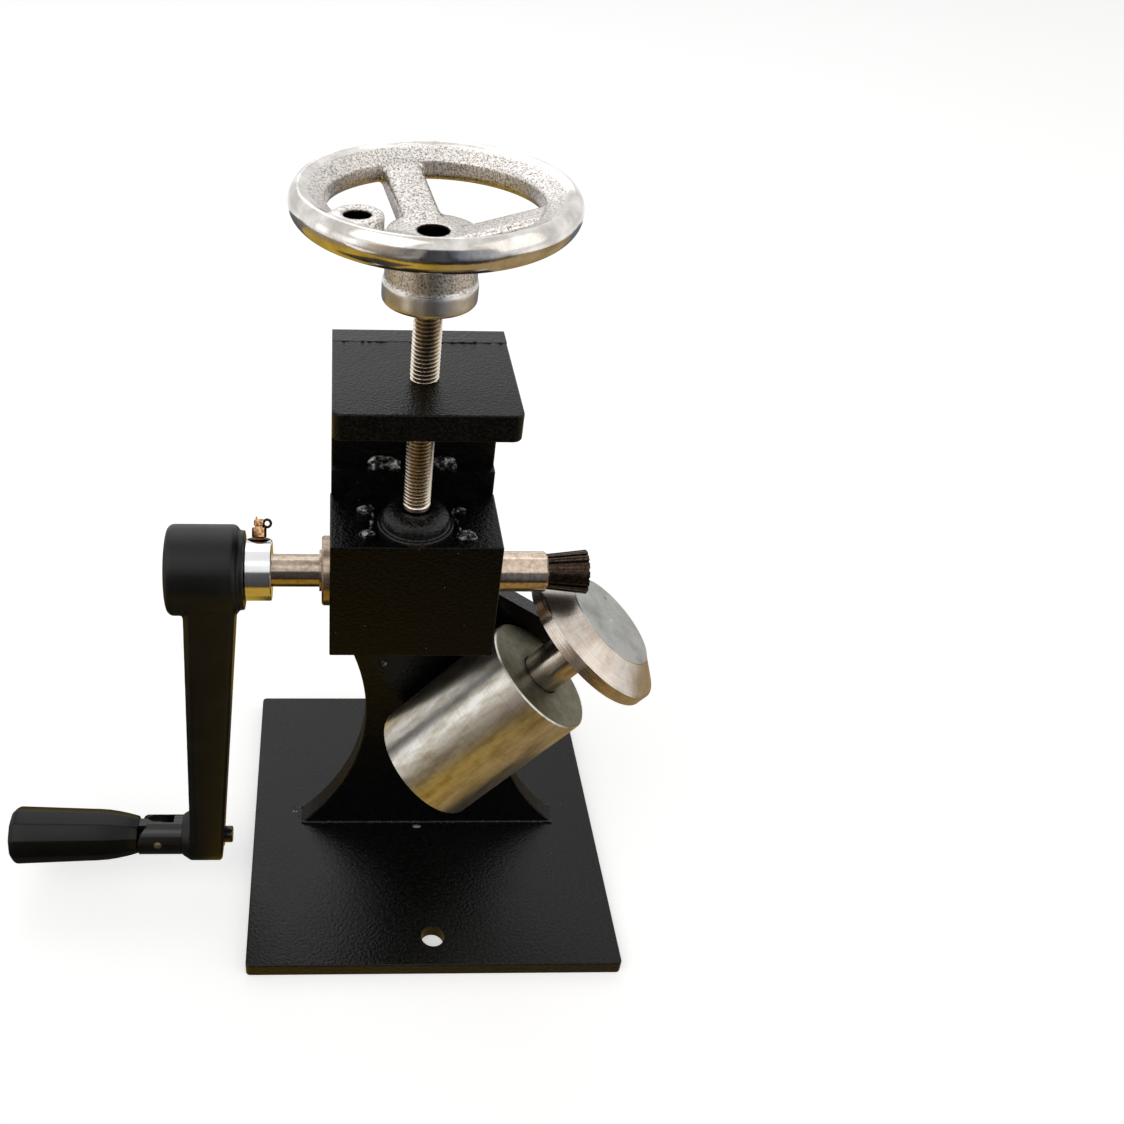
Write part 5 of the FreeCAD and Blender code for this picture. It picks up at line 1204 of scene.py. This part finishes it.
@dataclass
class PressureScrew:
    """The threaded screw and the cast handwheel on its top."""

    pitch: float = 1.75 * MM
    major: float = 6.0 * MM
    root: float = 4.93 * MM
    neck: float = 5.3 * MM
    head: float = 8.0 * MM
    head_height: float = 5.5 * MM
    neck_length: float = 10.5 * MM
    band: float = 2.4 * MM
    crest_fall: float = 0.12 * MM
    shoulder_fall: float = 0.22 * MM
    steps_per_turn: int = 32
    voxel: float = 0.62 * MM

    def thread(self, foot: Vector, length: float) -> BMesh:
        """Roll a right-hand thread up from a foot.

        Args:
            foot: The point of the screw's axis where the thread starts.
            length: The threaded length.

        Returns:
            The closed threaded length.
        """
        shape = bmesh.new()
        shoulder = self.major - self.crest_fall
        flank_top = shoulder - self.shoulder_fall
        flank = [(self.root, 0.0), (self.root, 0.14), (flank_top, 0.37), (shoulder, 0.43),
                 (self.major, 0.50), (shoulder, 0.57), (flank_top, 0.63), (self.root, 0.86),
                 (self.root, 1.0)]
        low = foot - Z_AXIS * self.pitch
        points = [shape.verts.new(low + Vector((r, 0, h * self.pitch))) for r, h in flank]
        edges = [shape.edges.new(pair) for pair in zip(points, points[1:])]
        turns = math.ceil(length / self.pitch) + 2
        bmesh.ops.spin(shape, geom=points + edges, cent=foot, axis=Z_AXIS,
                       dvec=Z_AXIS * self.pitch / self.steps_per_turn,
                       angle=2 * math.pi * turns, steps=self.steps_per_turn * turns,
                       use_merge=False, use_duplicate=False)
        bmesh.ops.remove_doubles(shape, verts=shape.verts, dist=0.004 * MM)
        for level, normal in ((foot, -Z_AXIS), (foot + Z_AXIS * length, Z_AXIS)):
            whole = shape.verts[:] + shape.edges[:] + shape.faces[:]
            cut = bmesh.ops.bisect_plane(shape, geom=whole, plane_co=level, plane_no=normal,
                                         clear_outer=True)
            bmesh.ops.edgeloop_fill(shape, edges=picked(cut["geom_cut"], BMEdge))
        return shape

    def build(self) -> None:
        """Model the screw and the wheel."""
        low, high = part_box("pressure_screw")
        foot = foot_of("pressure_screw")
        start = self.head_height + self.neck_length
        edge = 0.35 * MM
        overlap = 0.2 * MM
        plain = spun([(0, 0), (self.head, 0), (self.head, self.head_height),
                      (self.neck, self.head_height), (self.neck, start),
                      (self.major - edge, start), (self.major, start + edge),
                      (self.major, start + self.band - edge),
                      (self.major - edge, start + self.band), (0, start + self.band)],
                     foot, Z_AXIS, 48)
        first = start + self.band - overlap
        thread = self.thread(foot + Z_AXIS * first, high.z - low.z - first)
        # Rolled stainless: each round crest draws a bright line, with painted brown shade between.
        finished_piece(joined([plain, thread]), "threaded_screw", Body.SCREW,
                       RolledThread("rolled_thread_stainless", tuple(foot)).material(),
                       ["pressure_screw"])
        casting = cast_over(merged_solid("handwheel"), self.voxel, 5)
        # Chromed cast iron: mirror-like where it was buffed, glittering sand grain elsewhere.
        metal = CastWheelMetal("chromed_cast_iron", (foot.x, foot.y, 0), (0, 0, 1),
                               ringed=0.35).material()
        finished_piece(casting, "cast_handwheel", Body.SCREW, metal, ["handwheel"])
        # Blackened alloy steel: dull, with its corners rubbed grey.
        dress(["handwheel_grub_screw"],
              SmallPartMetal("grub_screw_black_oxide", "1A1A1B", "39393A", 0.35).material())


@dataclass
class EyeScrew:
    """The small brass thumb screw on the collar: saucer, nut, cap and a wire ring."""

    lean: float = math.radians(37)
    saucer: float = 5.5 * MM
    nut: float = 3.35 * MM
    cap: float = 2.5 * MM
    ring: float = 1.7 * MM
    wire: float = 0.62 * MM
    ring_drop: float = 2.0 * MM
    saucer_top: float = 1.3 * MM
    nut_top: float = 6.0 * MM
    cap_foot: float = 6.7 * MM
    cap_top: float = 9.8 * MM
    spike_top: float = 11.0 * MM
    spike_aside: float = -1.3 * MM
    ring_aside: float = 1.9 * MM
    stem: float = 2.0 * MM

    @property
    def axis(self) -> Vector:
        """The direction in which the screw leans back from the shaft."""
        return Vector((0, math.sin(self.lean), math.cos(self.lean)))

    def seat(self) -> Vector:
        """The point of the screw's axis where its saucer rests on the collar."""
        low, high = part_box("shaft_collar")
        return middle_of("shaft_collar") + self.axis * ((high.z - low.z) / 2 - 0.4 * MM)

    def turned(self, profile: Sequence[tuple[float, float]], steps: int,
               aside: float = 0.0) -> BMesh:
        """Turn one part of the screw, moved along X from its axis."""
        return spun(profile, self.seat() + X_AXIS * aside, self.axis, steps)

    def build(self) -> None:
        """Model the screw's four parts."""
        edge = 0.4 * MM
        dish = self.turned([(0, 0), (self.saucer - 2 * edge, 0), (self.saucer, edge),
                            (self.saucer - edge, 2 * edge), (self.nut + edge, self.saucer_top),
                            (0, self.saucer_top)], 48)
        # Brass gone brown from years of oil: dark, with a coppery glint at its rim.
        finished_piece(dish, "eye_screw_saucer", Body.CRANK,
                       SmallPartMetal("saucer_brown_brass", "4A3220", "7A5636", 0.34,
                                      patch=1.4).material(), ["collar_eye_screw"])
        nut = self.turned([(0, self.saucer_top), (self.nut - edge, self.saucer_top),
                           (self.nut, self.saucer_top + edge), (self.nut, self.nut_top - edge),
                           (self.nut - edge, self.nut_top), (self.stem, self.nut_top),
                           (self.stem, self.cap_foot), (self.cap - edge, self.cap_foot),
                           (self.cap, self.cap_foot + edge), (self.cap, self.cap_top - 2 * edge),
                           (self.cap - 2 * edge, self.cap_top), (0, self.cap_top)], 8)
        spike = self.turned([(0, self.cap_top - edge), (1.5 * edge, self.cap_top - edge),
                             (0.6 * edge, self.spike_top), (0, self.spike_top)], 12,
                            self.spike_aside)
        # Turned brass with a copper cast: bright facets between dark oily edges.
        finished_piece(joined([nut, spike]), "eye_screw_nut", Body.CRANK,
                       SmallPartMetal("nut_coppery_brass", "D3A678", "4A3020", 0.20,
                                      patch=1.1).material())
        centre = (self.seat() + X_AXIS * (self.ring + self.ring_aside)
                  + self.axis * (self.cap_top - self.ring_drop))
        around = [(self.ring + self.wire * math.cos(turn * math.pi / 6),
                   self.wire * math.sin(turn * math.pi / 6)) for turn in range(13)]
        ring = spun(around, centre, self.axis.cross(X_AXIS), 32)
        # Iron wire, burnt black.
        finished_piece(ring, "eye_screw_ring", Body.CRANK,
                       SmallPartMetal("ring_burnt_wire", "241A12", "4E3A28", 0.32,
                                      patch=1.2).material())


@dataclass
class CrankLine:
    """The shaft with its collar and roller, and the moulded crank on its end."""

    voxel: float = 0.62 * MM

    def shaft(self) -> None:
        """Dress the shaft, its collar and the small parts that are fixed to it."""
        line = tuple(middle_of("crank_shaft"))
        # Ground steel under a film of cutting oil: warm, spotted, with a sharp bright line.
        dress(["crank_shaft"], ShaftSteel(
            "shaft_oiled_steel", line, (1, 0, 0), colour="E2D0BC", stain="A0846E",
            roughness=0.19, line=0.5, patch=1.6, stretch=0.7, stained=0.6).material())
        # Bright zinc plate: cold white, nearly a mirror.
        dress(["shaft_collar"], TurnedSteel(
            "collar_zinc_plate", line, (1, 0, 0), colour="F0F1F3", stain="DAD9D4",
            roughness=0.16, ringed=0.3, line=0.4).material())
        # Case-hardened steel, oiled black: brown-black ridges with a thin bright edge.
        dress(["embossing_roller"], SmallPartMetal(
            "roller_oiled_black_steel", "2E241E", "55463A", 0.27, metallic=0.9, patch=1.5,
            grain=0.5, depth=0.03).material())
        # Plain machine steel with a film of oil: mid grey.
        dress(["roller_screw", "roller_key", "crank_key", "crank_sleeve"],
              SmallPartMetal("oiled_steel", "6A6763", "8C8882", 0.28).material())
        # Phosphated spring steel, its pale face a painted highlight.
        dress(["shaft_circlip"], SmallPartMetal("shaft_circlip_painted_highlight_steel", "B9A99B",
                                                "7E6E62", 0.26, patch=2.0).material())
        # Zinc-plated screw: soft silver.
        dress(["crank_end_screw"], SmallPartMetal("end_screw_zinc_plate", "B9B8B4", "96948E",
                                                  0.30).material())

    def crank(self) -> None:
        """Mould the crank and dress its fork and pins."""
        # Glass-filled nylon: satin black, its bevels picked out by the light.
        nylon = MouldedPlastic("crank_moulded_nylon").material()
        finished_piece(cast_over(merged_solid("crank_arm"), self.voxel, 2), "moulded_crank",
                       Body.CRANK, nylon, ["crank_arm"])
        # Steel under gloss black lacquer: the only deep mirror among the blacks.
        gloss = SmallPartMetal("fork_gloss_lacquer", "070707", "0E0E0E", 0.14, metallic=0.0)
        dress(["handle_fork", "handle_spindle", "stud_washer"], gloss.material())
        # Bright steel pin: a silver dot in the fork.
        dress(["fold_pin"], SmallPartMetal("pin_bright_steel", "E2DFD9", "B5B0A8",
                                           0.20).material())
        # Zinc-plated screw and washer in the grip's end.
        dress(["grip_washer", "grip_screw"],
              SmallPartMetal("grip_screw_zinc_plate", "C4C2BC", "A09D95", 0.26).material())

    def build(self) -> None:
        """Dress the shaft line and mould the crank."""
        self.shaft()
        self.crank()
        EyeScrew().build()


@dataclass
class FacetedGrip:
    """The turning grip: black plastic with long shallow flats and a recess for its screw."""

    facets: int = 10
    flatness: float = 0.75
    root: float = 10.1 * MM
    shoulder: float = 13.9 * MM
    shoulder_at: float = 24.0 * MM
    end: float = 15.4 * MM
    end_round: float = 4.0 * MM
    bore: float = 4.1 * MM
    recess: float = 7.0 * MM
    recess_depth: float = 6.0 * MM
    edge: float = 0.6 * MM
    lip: float = 0.5 * MM
    long_steps: int = 12
    end_steps: int = 5

    def profile(self, length: float) -> list[tuple[float, float]]:
        """The grip's half outline, from its bore at the fork to its bore at the outer end."""
        points = [(self.bore, 0.0), (self.root - self.edge, 0.0), (self.root, self.edge)]
        for step in range(1, self.long_steps + 1):
            share = step / self.long_steps
            along = self.edge + share * (length - self.end_round - self.edge)
            near = min(along / self.shoulder_at, 1.0)
            far = max(along - self.shoulder_at, 0) / (length - self.end_round - self.shoulder_at)
            radius = self.root + (self.shoulder - self.root) * math.sin(near * math.pi / 2)
            points.append((radius + (self.end - self.shoulder) * far, along))
        for step in range(1, self.end_steps + 1):
            angle = math.pi / 2 * step / self.end_steps
            points.append((self.end - self.end_round * (1 - math.cos(angle)),
                           length - self.end_round * (1 - math.sin(angle))))
        floor = length - self.recess_depth
        return points + [(self.recess + self.lip, length), (self.recess, length - self.lip),
                         (self.recess, floor), (self.bore, floor), (self.bore, 0.0)]

    def build(self) -> None:
        """Turn the grip, then press its flats in."""
        low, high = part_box("grip")
        centre = middle_of("grip")
        centre.x = high.x
        shape = spun(self.profile(high.x - low.x), centre, -X_AXIS, 120)
        sector = 2 * math.pi / self.facets
        for vert in shape.verts:
            out = Vector((0, vert.co.y - centre.y, vert.co.z - centre.z))
            if out.length > self.root - 1.0 * MM:
                angle = math.atan2(out.z, out.y) % sector - sector / 2
                flat = math.cos(sector / 2) / math.cos(angle)
                vert.co -= out * (1 - flat) * self.flatness
        # Polished phenolic: blacker and glossier than the crank, its flats drawn by the light.
        finished_piece(shape, "faceted_grip", Body.GRIP,
                       MouldedPlastic("grip_polished_phenolic", colour="060606", scuff="101010",
                                      roughness=0.27, depth=0.012, ior=1.30).material(),
                       ["grip"])


# ---------------------------------------------------------------- studio
@dataclass(frozen=True)
class Card:
    """A coloured card beside the machine that shows only in its gloss, as a room would."""

    name: str
    spine: tuple[tuple[float, float, float], ...]
    sweep: tuple[float, float, float]
    stops: tuple[tuple[float, str], ...]
    strength: float = 1.0
    cloud: float = 0.05

    def material(self) -> Material:
        """Lay out the card: bands of colour along its sweep, clouded as a room is."""
        recipe = new_recipe(self.name)
        sweep = Vector(self.sweep)
        arm = recipe.add("VectorMath", {0: recipe.place, 1: self.spine[0]}, operation="SUBTRACT")
        share = recipe.add("VectorMath", {
            0: arm, 1: sweep / sweep.length_squared}, operation="DOT_PRODUCT")
        noise_map = recipe.add("TexNoise", {"Vector": recipe.place, "Scale": 5.0, "Detail": 3.0})
        centred = recipe.add("Math", {0: noise_map, 1: 0.5}, operation="SUBTRACT")
        strayed = recipe.add("Math", {
            0: centred, 1: self.cloud * 2, 2: share},
            operation="MULTIPLY_ADD")
        bands = recipe.add("ValToRGB", {0: strayed})
        ramp = bands.color_ramp
        for place, colour in self.stops[1:-1]:
            ramp.elements.new(place).color = linear(colour)
        ramp.elements[0].color = linear(self.stops[0][1])
        ramp.elements[-1].color = linear(self.stops[-1][1])
        glow = recipe.add("Emission", {"Color": bands, "Strength": self.strength})
        recipe.show(glow)
        recipe.material.cycles.emission_sampling = "NONE"
        return recipe.material

    def build(self) -> None:
        """Sweep the card from its spine."""
        shape = bmesh.new()
        points = [shape.verts.new(point) for point in self.spine]
        edges = [shape.edges.new(pair) for pair in zip(points, points[1:])]
        swept = bmesh.ops.extrude_edge_only(shape, edges=edges)["geom"]
        bmesh.ops.translate(shape, verts=picked(swept, BMVert), vec=self.sweep)
        mesh = mesh_of(shape, self.name)
        mesh.materials.append(self.material())
        card = placed(self.name, mesh)
        card.visible_camera = card.visible_diffuse = card.visible_shadow = False


# The room that the metal mirrors: a golden bench round the machine, its shaded corner under the
# crank, the dull floor behind, the bench's dark front, a wall with a darker figure, a window and
# a strip light.
ROOM = (
    Card("bench_card", ((-1.60, 0.45, 0.0003), (-1.60, -0.42, 0.0003)), (2.55, 0, 0),
         ((0.0, "8E7E6C"), (0.33, "9C8862"), (0.42, "B89838"), (0.60, "BC9A3C"),
          (0.645, "A48850"), (0.70, "A08A62"), (0.78, "A8926A"), (1.0, "948262"))),
    Card("bench_shade_card", ((-0.34, 0.10, 0.0006), (-0.34, -0.27, 0.0006)), (0.215, 0, 0),
         ((0.0, "3C3A36"), (1.0, "4A463E"))),
    Card("back_floor_card", ((-1.60, 0.90, 0.0003), (-1.60, 0.45, 0.0003)), (2.55, 0, 0),
         ((0.0, "8A8078"), (0.6, "54585E"), (1.0, "7C8086"))),
    Card("bench_front_card", ((-0.70, -0.42, 0.0003), (-0.70, -0.75, 0.0003)), (1.65, 0, 0),
         ((0.0, "7A6A52"), (0.3, "52483A"), (0.42, "241F1A"), (0.6, "2E2820"),
          (0.8, "6A5E4C"), (1.0, "5A4C38"))),
    Card("wall_card", ((-2.1, -0.75, 0.0), (-2.1, -1.5, 0.10), (-2.1, -1.6, 1.15)), (3.6, 0, 0),
         ((0.0, "D8CCBC"), (0.20, "B4A696"), (0.34, "8E8780"), (0.42, "6E6A6C"),
          (0.47, "A8A4A0"), (0.51, "3A383C"), (0.60, "4C5056"), (0.63, "303036"),
          (0.70, "78808A"), (0.82, "B4BAC0"), (1.0, "C4C8CC")), cloud=0.03),
    Card("window_card", ((-1.9, 0.35, 0.22), (-1.9, 0.35, 0.85)), (0, -1.45, 0),
         ((0.0, "FFFFFF"), (0.30, "FFFFFF"), (0.34, "8A8A8C"), (0.40, "FFFFFF"),
          (0.9, "FFFFFF"), (1.0, "D0D0D0")), strength=1.5, cloud=0.02),
    Card("strip_light_card", ((-0.75, 1.30, 2.35), (-0.75, 1.05, 2.60)), (1.5, 0, 0),
         ((0.0, "FFFFFF"), (1.0, "FFFFFF")), strength=2.0),
)


@dataclass
class Studio:
    """A pale floor under soft light, cards for the metal to mirror, and the camera."""

    focal: float = 1147.332
    centre_x: float = 369.975
    centre_y: float = 555.683
    position: Vector = field(default_factory=lambda: Vector((-57.611, -449.285, 546.532)) * MM)
    forward: Vector = field(default_factory=lambda: Vector((0.03659129, 0.79427934, -0.60644984)))
    right: Vector = field(default_factory=lambda: Vector((0.99931671, -0.0259162, 0.0263527)))
    down: Vector = field(default_factory=lambda: Vector((0.00521453, -0.60699974, -0.79468492)))
    floor_lift: float = 0.42
    floor_half: float = 14.0
    room_light: float = 0.55

    def camera(self) -> None:
        """Set the camera, its lens and the small shift that frames the machine."""
        data = bpy.data.cameras.new("camera")
        data.sensor_width = 36.0
        data.lens = self.focal / IMAGE_SIDE * data.sensor_width
        data.shift_x = (IMAGE_SIDE / 2 - self.centre_x) / IMAGE_SIDE
        data.shift_y = (self.centre_y - IMAGE_SIDE / 2) / IMAGE_SIDE
        data.clip_start = 0.02
        data.clip_end = 60.0
        camera = placed("camera", data)
        columns = (self.right, -self.down, -self.forward)
        turn = Matrix([[column[row] for column in columns] for row in range(3)])
        camera.matrix_world = Matrix.Translation(self.position) @ turn.to_4x4()
        bpy.context.scene.camera = camera

    def floor(self) -> None:
        """Lay the pale floor, which a camera ray sees as white but for the machine's shadow."""
        recipe = new_recipe("pale_floor")
        cloud = recipe.add("TexNoise", {"Vector": recipe.place, "Scale": 1.5, "Detail": 2.0})
        tone = recipe.add("Mix", {
            0: cloud, 6: linear("EFEFEE"), 7: linear("F4F4F3")}, data_type="RGBA")
        recipe.feed(Base_Color=tone, Roughness=0.9, Specular_IOR_Level=0.0)
        lifted = recipe.add("Math", {0: looked_at(recipe.tree), 1: self.floor_lift},
                            operation="MULTIPLY")
        glow = recipe.add("Emission", {"Color": (1, 1, 1, 1), "Strength": lifted})
        both = recipe.add("AddShader", {0: recipe.shader, 1: glow})
        recipe.show(both)
        recipe.material.cycles.emission_sampling = "NONE"
        shape = bmesh.new()
        bmesh.ops.create_grid(shape, x_segments=8, y_segments=8, size=self.floor_half)
        mesh = mesh_of(shape, "floor")
        mesh.materials.append(recipe.material)
        floor = placed("floor", mesh)

    def lamp(self, name: str, place: Vector, aim: Vector, side: float, power: float,
             colour: str) -> None:
        """Hang one soft box.

        Args:
            name: The lamp's name.
            place: Where it hangs.
            aim: The point it faces.
            side: The length of its side.
            power: Its power in watts.
            colour: Its colour.
        """
        data = bpy.data.lights.new(name, "AREA")
        data.shape = "SQUARE"
        data.size = side
        data.energy = power
        data.color = linear(colour)[:3]
        lamp = placed(name, data)
        lamp.location = place
        lamp.rotation_euler = (aim - place).to_track_quat("-Z", "Y").to_euler()

    def world(self) -> None:
        """Set the surroundings: white where they are seen or mirrored, softer where they light."""
        world = bpy.data.worlds.new("soft_room")
        bpy.context.scene.world = world
        world.use_nodes = True
        tree = world.node_tree
        tree.nodes.clear()
        strength = add_node(tree, "MapRange", {
            "Value": looked_at(tree), "To Min": self.room_light})
        backdrop = add_node(tree, "Background", {"Color": (1, 1, 1, 1), "Strength": strength})
        add_node(tree, "OutputWorld", {"Surface": backdrop})

    def build(self) -> None:
        """Set up the camera, floor, lamps and surroundings."""
        bpy.context.scene.view_settings.view_transform = "Standard"
        self.camera()
        self.floor()
        for card in ROOM:
            card.build()
        self.world()
        aim = Vector((-0.03, -0.04, 0.2))
        self.lamp("key", Vector((-1.1, -0.9, 1.9)), aim, side=1.6, power=9.0, colour="FFFDF8")
        self.lamp("fill", Vector((1.5, -0.8, 1.2)), aim, side=1.6, power=4.0, colour="FFF9EE")
        self.lamp("back", Vector((-0.4, 1.6, 1.7)), aim, side=1.4, power=5.0, colour="F4F8FF")


def main() -> None:
    """Build the machine's looks in order, from the frame to the grip, and set the studio."""
    logging.basicConfig(level=logging.INFO, format="%(message)s")
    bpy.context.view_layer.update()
    weld = WeldUnderCoat().material()
    Studio().build()
    WeldedFrame().build(weld)
    TiltedAnvil().build(weld)
    SlidingBlock().build(weld)
    PressureScrew().build()
    CrankLine().build()
    FacetedGrip().build()


if __name__ == "__main__":
    main()
